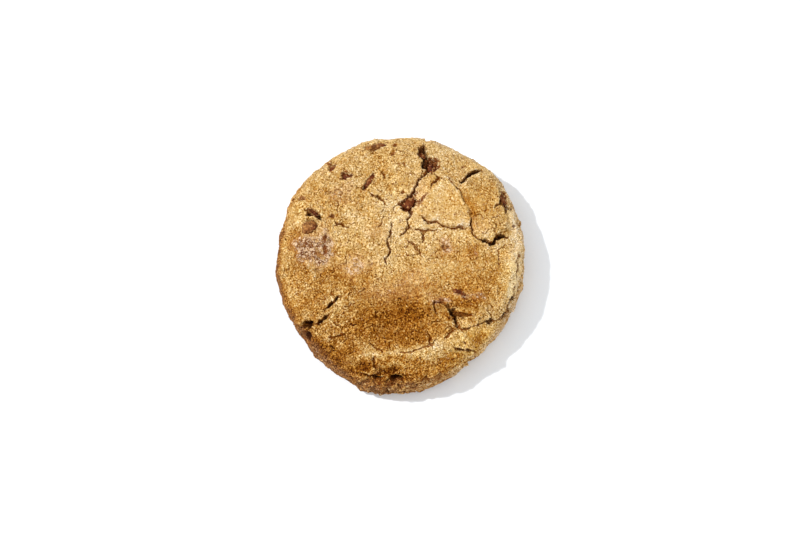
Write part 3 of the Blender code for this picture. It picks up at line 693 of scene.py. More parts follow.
def relief(points, normals):
    """How far the crust stands out from the smooth body at each point, how much of that is fine crags,
    how deep in a gap the point is, how far it is inside a place where chocolate shows, and the painted
    shadow and highlight along a flake's edge."""
    plan = points[:, :2] - CRUST_MIDDLE
    on_top = np.clip(normals[:, 2] * TOP_FADE, 0, 1)
    side = sideness(normals)
    stray = drift(plan, STRAY)
    lifted, painted_edge_light = flakes(plan, stray)
    cracked, gap = cracks(plan)
    hollow, inside = pits(points, plan, stray)
    opened, bare = openings(plan, stray)
    uneven, fine = crags(points, side)
    shape = lifted + cracked - opened + summed(swell, plan, SWELLS) + summed(ridge, plan, RIDGES)
    shape = shape * on_top + uneven - hollow
    gap = np.maximum(gap * on_top, inside)
    angle = np.arctan2(points[:, 1], points[:, 0])
    for sizes in SIDE_SPLITS.values():
        split = side_split(points, angle, *sizes) * smooth(3 * side)
        shape -= split
        gap = np.maximum(gap, split * SPLIT_DARKNESS)
    shape -= nicks(points, angle, stray) * side
    return shape * np.clip(points[:, 2] / FOOT_FADE, BASE_UNEVENNESS, 1), fine, gap, bare, painted_edge_light


def stitch(inner, outer):
    """Triangles between two closed rings of point numbers, which may differ in count, facing outwards."""
    if len(inner) == 1:
        return [(inner[0], outer[j - 1], outer[j]) for j in range(len(outer))]
    if len(outer) == 1:
        return [(outer[0], inner[i], inner[i - 1]) for i in range(len(inner))]
    faces = []
    i = j = 0
    while i < len(inner) or j < len(outer):
        if j * len(inner) <= i * len(outer) and j < len(outer):
            faces.append((inner[i % len(inner)], outer[j], outer[(j + 1) % len(outer)]))
            j += 1
        else:
            faces.append((inner[i], outer[j % len(outer)], inner[(i + 1) % len(inner)]))
            i += 1
    return faces


def body_rows():
    """The rows of the smooth body: share of the radius, height, count of points, and the outward and
    upward parts of the normal."""
    share, height = meridian()
    slope_out = np.gradient(share) * MEAN_RADIUS
    slope_up = np.gradient(height)
    lean = np.hypot(slope_out, slope_up)
    rows = []
    for row, (at, z) in enumerate(zip(share, height)):
        count = max(1, min(RING_GROWTH * row, ROUND_COUNT))
        upward = slope_out[row] / lean[row] if z > FOOT_FADE else 0.0
        rows.append((at, z, count, -slope_up[row] / lean[row], upward))
    for row in range(1, BASE_ROWS + 1):
        left = 1 - row / BASE_ROWS
        rows.append((share[-1] * left, 0.0, max(1, round(ROUND_COUNT * left)), 0.0, -1.0))
    return rows


def smooth_body():
    """Points and normals of the smooth body, in rings from the middle of the top down the side and to the
    middle of the base, and the faces between the rings."""
    random = np.random.default_rng(BODY_SEED)
    points, normals, rings = [], [], []
    for at, z, count, outward, upward in body_rows():
        first = sum(len(ring) for ring in rings)
        rings.append(list(range(first, first + count)))
        angle = np.arange(count) * (2 * math.pi / count)
        loose = 0 if z < FOOT_FADE or count == 1 else LOOSENESS
        angle = angle + loose * random.uniform(-1, 1, count) * (2 * math.pi / count)
        shift = loose * random.uniform(-1, 1, count) * ROW_STEP
        reach = at * outline_radius(angle) + shift * upward
        up = z - shift * outward
        right, back = np.cos(angle), np.sin(angle)
        points.append(np.stack([reach * right, reach * back, up + np.zeros(count)], axis=1))
        normals.append(np.stack([outward * right, outward * back, np.full(count, upward)], axis=1))
    faces = []
    for inner, outer in itertools.pairwise(rings):
        faces += stitch(inner, outer)
    return np.concatenate(points), np.concatenate(normals), faces


# Where the crust has browned (+) or stayed pale (-): centre, half widths, turn, amount. A few entries
# are painted shade or painted light instead, as marked.
TOAST = {
    # The hollow.
    "hollow": ((1.0, -22.0), (14.5, 9.4), 0, 0.36),
    "hollow_front": ((3.5, -27.0), (7.0, 3.4), 8, 0.12),
    "above_hollow": ((-9.6, -16.6), (7.0, 4.5), 0, 0.12),
    "hollow_left": ((-11.0, -24.0), (6.0, 5.0), 0, 0.06),
    "hollow_back": ((3.6, -19.0), (7.0, 3.4), 0, 0.18),
    "hollow_corner": ((8.8, -28.8), (2.8, 2.4), 0, -0.27),
    # The front rim and the side under it.
    "front_left_foot": ((-14.4, -35.0), (7.0, 4.0), -20, 0.14),
    "lower_right": ((26.6, -26.6), (3.6, 2.6), -45, 0.24),
    "tier_side": ((18.0, -35.6), (5.0, 2.4), 28, 0.18),
    "front_side_right": ((4.0, -39.5), (14.0, 2.4), 0, 0.20),
    "front_ridge_left": ((-11.5, -32.8), (3.2, 2.0), 0, 0.11),
    "lower_left_side": ((-24.0, -30.0), (10.0, 3.0), -38, 0.14),
    "front_slope": ((2.0, -36.0), (22.0, 3.0), 4, 0.26),
    "front_left": ((-16.0, -32.0), (9.0, 4.5), -30, 0.16),
    "front_ridge": ((0.0, -32.2), (17.0, 1.5), 3, -0.14),
    "lower_tier": ((18.0, -32.0), (9.0, 3.4), 25, 0.10),
    "lower_plate": ((15.0, -27.5), (5.0, 2.5), 15, -0.16),
    # The left.
    "left": ((-26.8, -7.5), (9.0, 13.0), 0, 0.12),
    "left_low": ((-29.0, -17.0), (5.0, 7.0), -20, 0.12),
    "lower_left": ((-20.8, -25.5), (9.0, 8.0), 40, 0.22),
    "smear_left": ((-31.6, 5.0), (3.0, 5.0), 0, 0.18),
    "left_rim_low": ((-26.8, -9.6), (3.2, 3.0), 0, 0.05),
    "left_low_above": ((-14.0, -4.8), (6.0, 2.6), 0, 0.09),
    "left_tail": ((-26.8, -1.2), (2.6, 2.4), 0, 0.11),
    "left_rim_high": ((-30.6, 7.0), (3.0, 4.0), 0, 0.08),
    "left_rim": ((-33.0, -4.0), (4.0, 8.0), 0, 0.08),
    "middle_left": ((-14.0, -9.5), (9.0, 4.4), 0, 0.15),
    "left_brown": ((-20.5, -6.8), (5.6, 2.2), -5, 0.14),
    "above_left": ((-13.5, -15.0), (4.5, 2.4), 0, 0.10),
    # The middle.
    "scales_foot": ((8.9, 8.6), (2.8, 2.4), 0, -0.14),
    "brow_left": ((13.9, -14.9), (2.6, 2.0), 0, 0.14),
    "middle_right": ((8.9, -5.6), (3.4, 3.0), 0, 0.06),
    "below_smear": ((-11.5, -0.2), (2.8, 2.2), 0, 0.10),
    "above_middle": ((-6.4, 12.0), (3.4, 3.4), 0, 0.10),
    "beside_scales": ((14.8, 1.6), (4.0, 4.2), 0, 0.13),
    "below_middle": ((2.0, -11.0), (14.0, 4.5), 0, 0.12),
    "fan": ((12.5, 17.0), (7.5, 8.5), 30, -0.04),
    "middle_pale": ((-3.0, 14.5), (7.0, 6.0), 0, -0.12),
    # The back.
    "upper_left_broad": ((-17.0, 25.0), (14.0, 12.0), 0, 0.10),
    "beside_split": ((14.0, 31.5), (2.6, 2.6), 0, 0.12),
    "above_scales": ((-6.4, 22.4), (3.0, 2.6), 0, -0.07),
    "back": ((-3.0, 35.5), (7.0, 3.0), 0, 0.04),
    "top_right": ((-3.0, 30.0), (4.5, 5.0), 0, 0.10),
    "back_right_rim": ((11.0, 33.0), (4.0, 5.0), 0, -0.10),
    "upper_left": ((-17.6, 21.0), (6.0, 5.0), 0, -0.04),
    "top": ((-12.0, 30.0), (14.0, 8.0), 20, -0.06),
    "strip": ((7.0, 21.5), (2.6, 5.5), -30, -0.10),
    # The right.
    "right_middle": ((24.5, -2.0), (9.0, 8.0), 0, 0.08),
    "plate_foot": ((24.0, 9.0), (6.0, 3.0), 0, -0.08),
    "right_lower": ((22.2, -11.6), (8.0, 6.0), 0, 0.16),
    "right_spot": ((22.8, 1.7), (2.6, 2.4), 0, 0.22),
    "fan_foot": ((19.0, 8.2), (3.2, 2.4), 0, -0.16),
    "right_rim_high": ((35.4, 1.6), (3.0, 4.6), 0, 0.14),
    "right_rim_middle": ((36.6, -9.0), (2.0, 5.0), 0, 0.12),
    "right_low_light": ((25.6, -15.6), (2.6, 2.6), 0, 0.10),
    "plate_below": ((27.8, 5.8), (3.4, 3.0), 0, -0.07),
    "plate_middle": ((21.5, 16.0), (3.4, 7.0), 10, 0.10),
    "plate": ((26.5, 16.0), (6.0, 11.0), 0, 0.06),
    "fold_brow": ((19.5, -15.8), (5.0, 2.0), -14, 0.22),
    # Painted light: the right rim is painted paler, so that it shows lit where the key light leaves it in
    # shade.
    "right_rim_painted_light": ((36.4, -6.5), (3.4, 10.5), 0, -0.60),
    "plate_centre": ((27.0, 18.5), (4.6, 6.5), 10, 0.03),
    "right_back_rim": ((36.5, 10.0), (3.0, 9.0), 12, -0.24),
    "brow_right": ((22.8, -13.6), (5.0, 3.6), 0, 0.12),
    # Painted shade: the floor of the fold's hollow, under its brow, is painted darker.
    "fold_floor": ((18.6, -19.4), (4.6, 1.4), -14, 0.24),
}
PAINTED_FLAKE_EDGE = 0.16  # what the painted shadow and highlight along a flake's edge add

# How brown the side is: its evenly baked tone, and what is added towards the front left, darker there.
SIDE_TOAST = -0.18
FRONT_DARKENING = 0.95
FRONT_TURN = -146.0
FRONT_SHARE = (0.15, 0.75)  # how far round that reaches
BROW_START = 1.25  # the side's tone starts this far up the shoulder

# Where the crust is more orange (+) or more yellow (-): centre, half widths, turn, amount.
WARMTH = {
    "lower_right": ((22.0, -28.5), (11.0, 6.0), 30, 0.55),
    # Painted light: the right rim is painted warmer, with its painted paleness.
    "right_rim_painted_light": ((37.0, -6.0), (3.4, 12.0), 0, 0.30),
    "front": ((4.0, -35.0), (16.0, 4.0), 0, 0.14),
    "lower_right_side": ((27.0, -33.0), (9.0, 5.0), 38, 0.60),
    "right_plate": ((27.0, 14.0), (7.0, 8.0), 0, 0.16),
    "right": ((32.0, -4.0), (6.0, 8.0), 0, 0.16),
    "lower_left": ((-25.0, -21.0), (9.0, 9.0), 0, -0.16),
    "front_left": ((-18.0, -30.0), (7.0, 5.0), 0, -0.16),
    "left": ((-28.0, -3.0), (8.0, 12.0), 0, -0.12),
    "upper_left": ((-20.0, 23.0), (8.0, 8.0), 0, -0.12),
    "middle": ((14.0, -2.0), (10.0, 8.0), 0, -0.12),
}
SIDE_WARMTH = 0.4  # the share of it that is left on the side

# Chocolate melted into the skin, a dull pinkish brown: centre, half widths, turn, amount.
SMEARS = {
    "left": ((-27.2, 2.6), (5.6, 7.4), -8, 0.36),
    "left_upper": ((-29.8, 3.9), (3.6, 4.6), -15, 0.60),
    "left_ring": ((-24.0, 5.2), (2.5, 7.4), 5, 0.62),
    "left_tail": ((-28.2, -1.6), (4.2, 2.6), -25, 0.52),
    "left_foot": ((-24.0, -3.2), (3.0, 2.2), 20, 0.34),
    "left_low_core": ((-14.6, -4.2), (5.2, 1.9), 12, 0.21),
    "middle_right": ((14.6, 2.9), (2.4, 2.0), 0, 0.8),
    "left_low": ((-14.4, -3.5), (7.0, 3.4), 0, 0.52),
    "upper_left": ((-19.0, 19.8), (3.4, 3.6), 0, 0.66),
    "strip": ((6.6, 21.4), (2.4, 5.6), -28, 0.45),
    "orange_spot": ((24.0, 1.6), (1.0, 0.8), 0, 0.8),
    "middle": ((-7.4, 8.2), (4.4, 2.8), 25, 0.45),
    "below_middle": ((4.0, -7.3), (5.4, 2.0), 0, 0.45),
    "brow": ((18.8, -12.6), (3.4, 1.4), -20, 0.9),
    "brow_right": ((24.6, -14.2), (2.6, 1.5), -20, 0.8),
    "brow_left": ((12.4, -14.3), (2.6, 1.2), -10, 0.8),
    "plate": ((24.8, 10.5), (3.0, 2.4), 0, 0.5),
    # Painted light: a pink blush on the right rim, with its painted paleness.
    "right_rim_painted_light": ((36.6, -2.0), (2.4, 9.0), 4, 0.3),
    "hollow_top": ((-1.0, -11.2), (12.0, 3.0), 0, 0.50),
}
PATCH_DRIFT = ((5.0, 2.0, 91), (1.8, 0.8, 93))  # how a patch's outline wanders: size, reach, seed


def keep_value(mesh, name, values, kind="FLOAT"):
    """Keeps a value for each point of a mesh, for the materials and the node trees to read."""
    attribute = mesh.attributes.new(name, kind, "POINT")
    field = "vector" if kind == "FLOAT_VECTOR" else "value"
    attribute.data.foreach_set(field, np.ravel(values).astype(np.float32))


def link(name, mesh):
    """A new object in the scene for a mesh."""
    made = bpy.data.objects.new(name, mesh)
    bpy.context.scene.collection.objects.link(made)
    return made


def dough_mesh():
    """The crust with all that has a place of its own in it, and the values that its finish goes by."""
    points, normals, faces = smooth_body()
    on_top = smooth(normals[:, 2] * TOP_FADE)
    plan = points[:, :2] - CRUST_MIDDLE
    points[:, :2] += (gathered(plan) - plan) * on_top[:, None]
    plan = points[:, :2] - CRUST_MIDDLE
    out, fine, gap, bare, painted_edge_light = relief(points, normals)
    underneath = normals[:, 2] < -0.5
    out[underneath] = 0
    placed = points + normals * out[:, None]
    placed[points[:, 2] <= 1e-6, 2] = 0
    mesh = bpy.data.meshes.new("cookie_dough")
    mesh.from_pydata((placed * MM).tolist(), [], faces)
    mesh.update()
    mesh.shade_smooth()

    side = sideness(normals)
    side[underneath] = 1
    brow = sideness(normals, BROW_START)
    brow[underneath] = 1
    across, room = crack_marks(plan)
    bent = plan + drift(plan, PATCH_DRIFT)
    angle = np.arctan2(points[:, 1], points[:, 0]) - math.radians(FRONT_TURN)
    round_toast = SIDE_TOAST + FRONT_DARKENING * smooth(FRONT_SHARE[0] + FRONT_SHARE[1] * np.cos(angle))
    top_toast_and_painted_light = summed(patch, bent, TOAST) + PAINTED_FLAKE_EDGE * painted_edge_light
    values = {
        "fine": fine,
        "gap": gap,
        "bare": bare * on_top - (1 - on_top),
        "crack_across": across,
        "crack_room": room * on_top - (1 - on_top),
        "side": side,
        "crumbled": crumbling(points),
        # How brown the crust is, with the painted shade and light of the flakes' edges, the fold and the
        # right rim.
        "toast": top_toast_and_painted_light * (1 - brow) + round_toast * brow,
        "smear": np.clip(summed(patch, bent, SMEARS), 0, 1) * (1 - side),
        "warmth": summed(patch, bent, WARMTH) * (1 - (1 - SIDE_WARMTH) * side),
    }
    keep_value(mesh, "dough", placed, "FLOAT_VECTOR")
    for name, value in values.items():
        keep_value(mesh, name, value)
    return mesh


class Wire:
    """A node's output. Python's arithmetic on it adds Math nodes to its tree."""

    def __init__(self, tree, socket):
        self.tree = tree
        self.socket = socket

    def out(self, name):
        """Another output of the same node."""
        return Wire(self.tree, self.socket.node.outputs[name])

    def math(self, operation, first, second=0.0):
        return node(self.tree, "ShaderNodeMath", {"operation": operation}, {0: first, 1: second})

    def __add__(self, other):
        return self.math("ADD", self, other)

    def __sub__(self, other):
        return self.math("SUBTRACT", self, other)

    def __rsub__(self, other):
        return self.math("SUBTRACT", other, self)

    def __mul__(self, other):
        return self.math("MULTIPLY", self, other)

    def __rtruediv__(self, other):
        return self.math("DIVIDE", other, self)

    def __pow__(self, other):
        return self.math("POWER", self, other)

    __radd__ = __add__
    __rmul__ = __mul__

    def size(self):
        """The value without its sign."""
        return self.math("ABSOLUTE", self)

    def at_least(self, low):
        return self.math("MAXIMUM", self, low)

    def at_most(self, high):
        return self.math("MINIMUM", self, high)

    def clipped(self):
        return node(self.tree, "ShaderNodeClamp", {}, {"Value": self})

    def between(self, low, high):
        """0 below `low`, 1 above `high`, and eased between them."""
        inputs = {"Value": self, "From Min": low, "From Max": high}
        return node(self.tree, "ShaderNodeMapRange", {"interpolation_type": "SMOOTHSTEP"}, inputs)


def fill(made, inputs):
    """Sets the inputs of a node, which are values or wires."""
    for name, value in inputs.items():
        if isinstance(value, Wire):
            value.tree.links.new(value.socket, made.inputs[name])
        else:
            made.inputs[name].default_value = value


def node(tree, kind, settings, inputs, output=0):
    """Adds a node to a tree: its settings first, then its inputs. One of its outputs is returned."""
    made = tree.nodes.new(kind)
    for name, value in settings.items():
        if name == "stops":
            ramp = made.color_ramp
            for place, colour in value[1:-1]:
                ramp.elements.new(place)
            for element, (place, colour) in zip(ramp.elements, value):
                element.position = place
                element.color = colour
        else:
            setattr(made, name, value)
    fill(made, inputs)
    return Wire(tree, made.outputs[output])


def vectors(tree, operation, first, second):
    """Arithmetic on places, directions or colours. To scale takes a number as its second value."""
    second_name = "Scale" if operation == "SCALE" else 1
    return node(tree, "ShaderNodeVectorMath", {"operation": operation}, {0: first, second_name: second})


def geometry_tree(name, sizes):
    """A geometry node tree with named sizes as its inputs. It returns the tree, its incoming mesh and
    those sizes."""
    tree = bpy.data.node_groups.new(name, "GeometryNodeTree")
    tree.interface.new_socket("Mesh", in_out="INPUT", socket_type="NodeSocketGeometry")
    for size, (kind, value) in sizes.items():
        tree.interface.new_socket(size, in_out="INPUT", socket_type=kind).default_value = value
    tree.interface.new_socket("Mesh", in_out="OUTPUT", socket_type="NodeSocketGeometry")
    entry = node(tree, "NodeGroupInput", {}, {})
    return tree, entry, {size: entry.out(size) for size in sizes}


def deliver(tree, mesh, finish):
    """Ends a geometry node tree: its mesh gets its material and goes out."""
    finished = node(tree, "GeometryNodeSetMaterial", {}, {"Geometry": mesh, "Material": finish})
    fill(tree.nodes.new("NodeGroupOutput"), {"Mesh": finished})
    return tree


def grown(source, tree, inputs, name):
    """Puts a new object in an object's place: the plain mesh that a geometry node tree makes of it."""
    modifier = source.modifiers.new(tree.name, "NODES")
    modifier.node_group = tree
    for item in tree.interface.items_tree:
        if item.item_type == "SOCKET" and item.in_out == "INPUT" and item.name in inputs:
            modifier[item.identifier] = inputs[item.name]
    bpy.context.view_layer.update()
    evaluated = source.evaluated_get(bpy.context.evaluated_depsgraph_get())
    mesh = bpy.data.meshes.new_from_object(evaluated)
    mesh.name = name
    old = source.data
    bpy.data.objects.remove(source)
    bpy.data.meshes.remove(old)
    return link(name, mesh)


def attribute_value(tree, name, kind="FLOAT"):
    """A kept value, in a geometry node tree."""
    return node(tree, "GeometryNodeInputNamedAttribute", {"data_type": kind}, {"Name": name})


def height_above_floor(tree):
    """How high each point of the incoming mesh lies, in metres, in a geometry node tree."""
    position = node(tree, "GeometryNodeInputPosition", {}, {})
    return node(tree, "ShaderNodeSeparateXYZ", {}, {"Vector": position}, 2)


def granules_tree():
    """Raises the crust in small rounded granules, each of its own height, as sugar crystals set it."""
    sizes = {
        "Granule size": ("NodeSocketFloat", 1.0),
        "Granule height": ("NodeSocketFloat", 0.2),
        "Strays": ("NodeSocketFloat", 0.3),
        "Seed": ("NodeSocketFloat", 0.0),
        "Finish": ("NodeSocketMaterial", None),
    }
    tree, entry, size = geometry_tree("granules", sizes)
    dough = attribute_value(tree, "dough", "FLOAT_VECTOR")
    inputs = {"Vector": dough, "W": size["Seed"], "Scale": 0.9}
    stray = node(tree, "ShaderNodeTexNoise", {"noise_dimensions": "4D"}, inputs, 1)
    place = vectors(tree, "ADD", dough, vectors(tree, "SCALE", stray, size["Strays"]))
    inputs = {"Vector": place, "Scale": 1 / size["Granule size"]}
    cells = node(tree, "ShaderNodeTexVoronoi", {"voronoi_dimensions": "3D"}, inputs)
    own = node(tree, "FunctionNodeSeparateColor", {}, {"Color": cells.out("Color")})
    rounded = 1 - (cells * 1.5) ** 2.0
    height = rounded.at_least(-0.6) * (0.25 + 0.75 * own) * size["Granule height"]
    rougher = 1 - 0.4 * attribute_value(tree, "side") + 0.5 * attribute_value(tree, "crumbled")
    height = height * (1 - 0.7 * attribute_value(tree, "gap")) * rougher
    height = height * height_above_floor(tree).between(0.2 * MM, 1.6 * MM)
    normal = node(tree, "GeometryNodeInputNormal", {}, {})
    offset = vectors(tree, "SCALE", normal, height * MM)
    shaped = node(tree, "GeometryNodeSetPosition", {}, {"Geometry": entry, "Offset": offset})
    return deliver(tree, shaped, size["Finish"])


LIT = 1.20  # how much brighter than its own colour a surface shows under the lights of the last section


def paint(red, green, blue):
    """The own colour of a surface that shows as this colour, 0 to 255, in the light."""
    linear = [((value / 255 + 0.055) / 1.055) ** 2.4 for value in (red, green, blue)]
    return (*(value / LIT for value in linear), 1.0)


CRUST_STOPS = (
    (0.00, paint(249, 227, 190)),
    (0.20, paint(236, 201, 142)),
    (0.40, paint(213, 170, 100)),
    (0.58, paint(189, 133, 57)),
    (0.78, paint(152, 89, 16)),
    (1.00, paint(94, 44, 0)),
)
CRUST_TONE = 0.365  # where on those stops an even patch of the top lies
BLUSH = paint(208, 150, 96)
SMEAR_DARK = paint(104, 50, 24)
SMEAR_PALE = paint(250, 216, 176)
SIDE_COLOUR = paint(172, 124, 78)
# The darks of pores, cracks and holes are painted shade, for the shade that falls in them.
PORE_SHADE = paint(136, 72, 0)
GAP_SHADE = paint(138, 62, 0)
WIDE_GAP_SHADE = paint(98, 50, 14)
HOLE_SHADE = paint(52, 18, 0)
MELT_DARK = paint(72, 28, 4)
MELT_PALE = paint(160, 96, 50)
GRAIN_COUNT = 1.45  # grains that show in the skin, for each millimetre
RELIEF_DEPTH = 0.30  # of what the skin's finest relief adds

# What the finish goes by: the values kept on the dough, and noise. Each noise has a count for each
# millimetre, a detail, a roughness and a seed.
KEPT_VALUES = (
    "toast", "warmth", "smear", "side", "crumbled", "fine", "gap", "bare", "crack_across", "crack_room",
)
CRUST_NOISE = {
    "cloud": (0.10, 2.0, 0.5, 1.0),
    "blotch": (0.34, 3.0, 0.6, 2.0),
    "mottle": (1.0, 2.0, 0.6, 3.0),
    "crumb": (1.7, 2.0, 0.6, 5.0),
    "fleck": (2.8, 1.0, 0.6, 4.0),
    "speck": (1.9, 0.0, 0.5, 8.0),
    "rough": (0.6, 1.0, 0.5, 14.0),
    "warm": (0.14, 4.0, 0.6, 15.0),
}


def noise(tree, place, scale, detail, roughness=0.5, seed=0.0):
    """Noise about 0, from about -0.5 to 0.5. The scale is a count for each millimetre."""
    inputs = {"Vector": place, "W": seed, "Scale": scale, "Detail": detail, "Roughness": roughness}
    return node(tree, "ShaderNodeTexNoise", {"noise_dimensions": "4D"}, inputs) - 0.5


def thin_lines(tree, place, scale, seed):
    """Thin wandering lines: 0.7 along their middles, and -0.3 off them."""
    return (1 - noise(tree, place, scale, 1.0, seed=seed).size() * 14).clipped() - 0.3


def blend(tree, amount, first, second):
    """One colour over another. A Mix node takes colours by its sockets 6 and 7."""
    return node(tree, "ShaderNodeMix", {"data_type": "RGBA"}, {0: amount, 6: first, 7: second}, 2)


def kept(tree, name, output="Fac"):
    """A value kept on a mesh, in a material."""
    return node(tree, "ShaderNodeAttribute", {"attribute_name": name}, {}, output)


def new_material(name):
    """A material with nothing but its shader, which is returned with its tree."""
    made = bpy.data.materials.new(name)
    made.use_nodes = True
    return made, made.node_tree, made.node_tree.nodes["Principled BSDF"]


def crust_skin(tree):
    """What the crust's colour and its finest relief are worked out from: the values kept on it, noise,
    and a slightly bent pattern of sugar grains, wrinkles, folds, cracks and, on the side, layers."""
    place = kept(tree, "dough", "Vector")
    values = {name: kept(tree, name) for name in KEPT_VALUES}
    noises = {name: noise(tree, place, *sizes) for name, sizes in CRUST_NOISE.items()}
    skin = types.SimpleNamespace(**values, **noises)
    inputs = {"Vector": place, "Scale": 1.3, "Detail": 1.0}
    sway = node(tree, "ShaderNodeTexNoise", {}, inputs, "Color")
    bent = vectors(tree, "ADD", place, vectors(tree, "SCALE", sway, 0.6))

    # Each sugar grain's own random value, and its rounded top.
    grain = node(tree, "ShaderNodeTexVoronoi", {}, {"Vector": bent, "Scale": GRAIN_COUNT})
    skin.own = node(tree, "ShaderNodeSeparateColor", {}, {"Color": grain.out("Color")})
    skin.rounded = 1 - grain * 1.9
    pit = (1 - skin.own).between(0.90, 0.95) * skin.rounded.between(0.0, 0.35)
    skin.pore = pit.at_least((-0.7 * skin.crumb - 1.1 * skin.fleck).between(0.20, 0.29)) * 0.85

    # Wrinkles and fine folds, and the layers of the side.
    crease = noise(tree, bent, 0.55, 2.0, 0.6, seed=6.0)
    skin.wrinkle = ((1 - crease.size() * 16) * (2.4 * skin.blotch + 0.6)).at_least(0.0)
    flat = vectors(tree, "MULTIPLY", bent, (0.25, 0.25, 1.6))
    skin.layers = noise(tree, flat, 0.9, 3.0, 0.6, seed=7.0)
    # Crinkles are fine grooves, painted dark as shade too; crests are lines of painted highlight.
    skin.crinkle = thin_lines(tree, bent, 1.1, 9.0)
    skin.crest = thin_lines(tree, bent, 1.2, 10.0)

    # How far inside a crack's ragged edge the surface is: over 0 in the crack.
    ragged = (0.5 * skin.crumb + 0.6 * skin.fleck) * (1 + 1.5 * skin.crack_room.at_least(0.0))
    skin.within = skin.crack_room - skin.crack_across.size() + ragged
    skin.split = skin.within.between(-0.05, 0.08)
    return skin


def crust_tone(skin):
    """How brown the crust is: its broad patches, then its grain, with painted highlight and shade on its
    grains, crags and wrinkles, then its side, its crumbled patches, and painted shade and highlight at
    its cracks."""
    # A painted highlight on the tops of some grains.
    painted_grain_highlight = skin.own.between(0.86, 0.93) * skin.rounded.between(0.05, 0.45)
    tone = CRUST_TONE + skin.toast + 0.28 * skin.cloud + 0.32 * skin.blotch + 0.17 * skin.mottle
    tone = tone + 0.12 * skin.crumb + 0.4 * skin.fleck
    # Grain tops are painted paler and the gaps between them darker: painted highlight and shade.
    tone = tone - 0.10 * skin.rounded + 0.08 * (skin.own - 0.5) - 0.20 * painted_grain_highlight
    # Painted shade: raised fine crags are painted paler and low ones darker, and wrinkles darker.
    tone = tone - 0.24 * skin.fine + 0.14 * skin.wrinkle
    tone = tone - 0.12 * skin.speck.between(0.12, 0.18) + 0.12 * (-1 * skin.speck).between(0.12, 0.18)
    tone = tone + skin.side * (2.4 * skin.layers + 0.5 * skin.crumb + 0.9 * skin.mottle)
    rough = 0.06 + 0.8 * skin.layers + 0.8 * skin.crumb + 0.6 * skin.mottle
    tone = tone + skin.crumbled.at_least(0.0) * rough
    # Painted shade on a crack's ragged walls, and a painted highlight on the crust just outside them.
    lip = skin.within.between(-1.1, -0.6) - skin.within.between(-0.6, -0.35)
    return tone + 0.13 * skin.within.between(-0.35, 0.0) - 0.10 * lip


def crust_dark(skin):
    """The finest light and dark: random flecks and specks, with painted shade along crinkles and a painted
    highlight along crests, all stronger where the crust is rough.
    """
    rough = 1 + 4.5 * skin.rough + 0.1 * skin.side + 1.2 * skin.crumbled.at_most(0.2)
    dark = skin.fleck * (0.4 + 7.0 * skin.fleck.size()) + 0.2 * skin.crumb
    dark = dark - 0.10 * skin.speck.between(0.10, 0.18) + 0.10 * (-1 * skin.speck).between(0.10, 0.18)
    return ((dark + 0.30 * skin.crinkle - 0.24 * skin.crest) * rough.at_least(0.25)).at_least(-0.28)


def crust_colour(tree, skin):
    """The plain crust, pale tan where it lifted and browner in the hollow."""
    inputs = {"Fac": crust_tone(skin).clipped()}
    colour = node(tree, "ShaderNodeValToRGB", {"stops": CRUST_STOPS}, inputs)
    colour = blend(tree, skin.side * 0.45, colour, SIDE_COLOUR)
    warm = skin.warm + skin.warmth
    tint = node(tree, "ShaderNodeCombineXYZ", {}, {0: 1 + 0.18 * warm, 1: 1.0, 2: 1 - 0.6 * warm})
    dark = crust_dark(skin)
    inputs = {"Color": vectors(tree, "MULTIPLY", colour, tint), "Gamma": 1 + dark}
    return vectors(tree, "SCALE", node(tree, "ShaderNodeGamma", {}, inputs), 1 - dark)


def smeared(tree, skin, colour):
    """Smeared chocolate over the crust: a blush, and a mottled film where it is thick."""
    colour = blend(tree, (0.45 * skin.smear).clipped(), colour, BLUSH)
    melted = (skin.smear + 1.2 * skin.mottle + skin.crumb).between(0.62, 0.90)
    melted = melted * skin.smear.between(0.1, 0.5)
    # Raised fine crags are painted paler in the film too: painted shade.
    mixed = 0.55 + 5.5 * skin.mottle + 7.0 * skin.crumb + 4.5 * skin.fleck - skin.fine - 1.4 * skin.toast
    pinkish = blend(tree, mixed.clipped(), SMEAR_DARK, SMEAR_PALE)
    return blend(tree, melted * 0.95, colour, pinkish)


def opened_up(tree, skin, colour):
    """Pores, cracks and holes in the crust, painted dark for the shade in them, and the chocolate that
    has soaked into an opening's edges.
    """
    # Painted shade: pores, cracks and holes are painted dark, darkest in the deepest gaps.
    colour = blend(tree, skin.pore, colour, PORE_SHADE)
    deep = skin.gap.between(0.10, 0.55).at_least(skin.split) * (0.75 + skin.crumb + skin.fleck).clipped()
    gap_shade = blend(tree, skin.crack_room.between(0.2, 0.5), GAP_SHADE, WIDE_GAP_SHADE)
    colour = blend(tree, deep * (1 - 0.6 * skin.side), colour, gap_shade)
    hole = (skin.gap + 0.8 * skin.crumb + 0.8 * skin.fleck).between(0.8, 1.2)
    colour = blend(tree, hole * 0.9, colour, HOLE_SHADE)
    soaked = skin.bare + 0.7 * skin.mottle + 1.6 * skin.crumb + 1.6 * skin.fleck
    mixed = (0.45 + 2.4 * skin.crumb + 2.4 * skin.fleck).clipped()
    return blend(tree, soaked.between(-0.02, 0.18), colour, blend(tree, mixed, MELT_DARK, MELT_PALE))


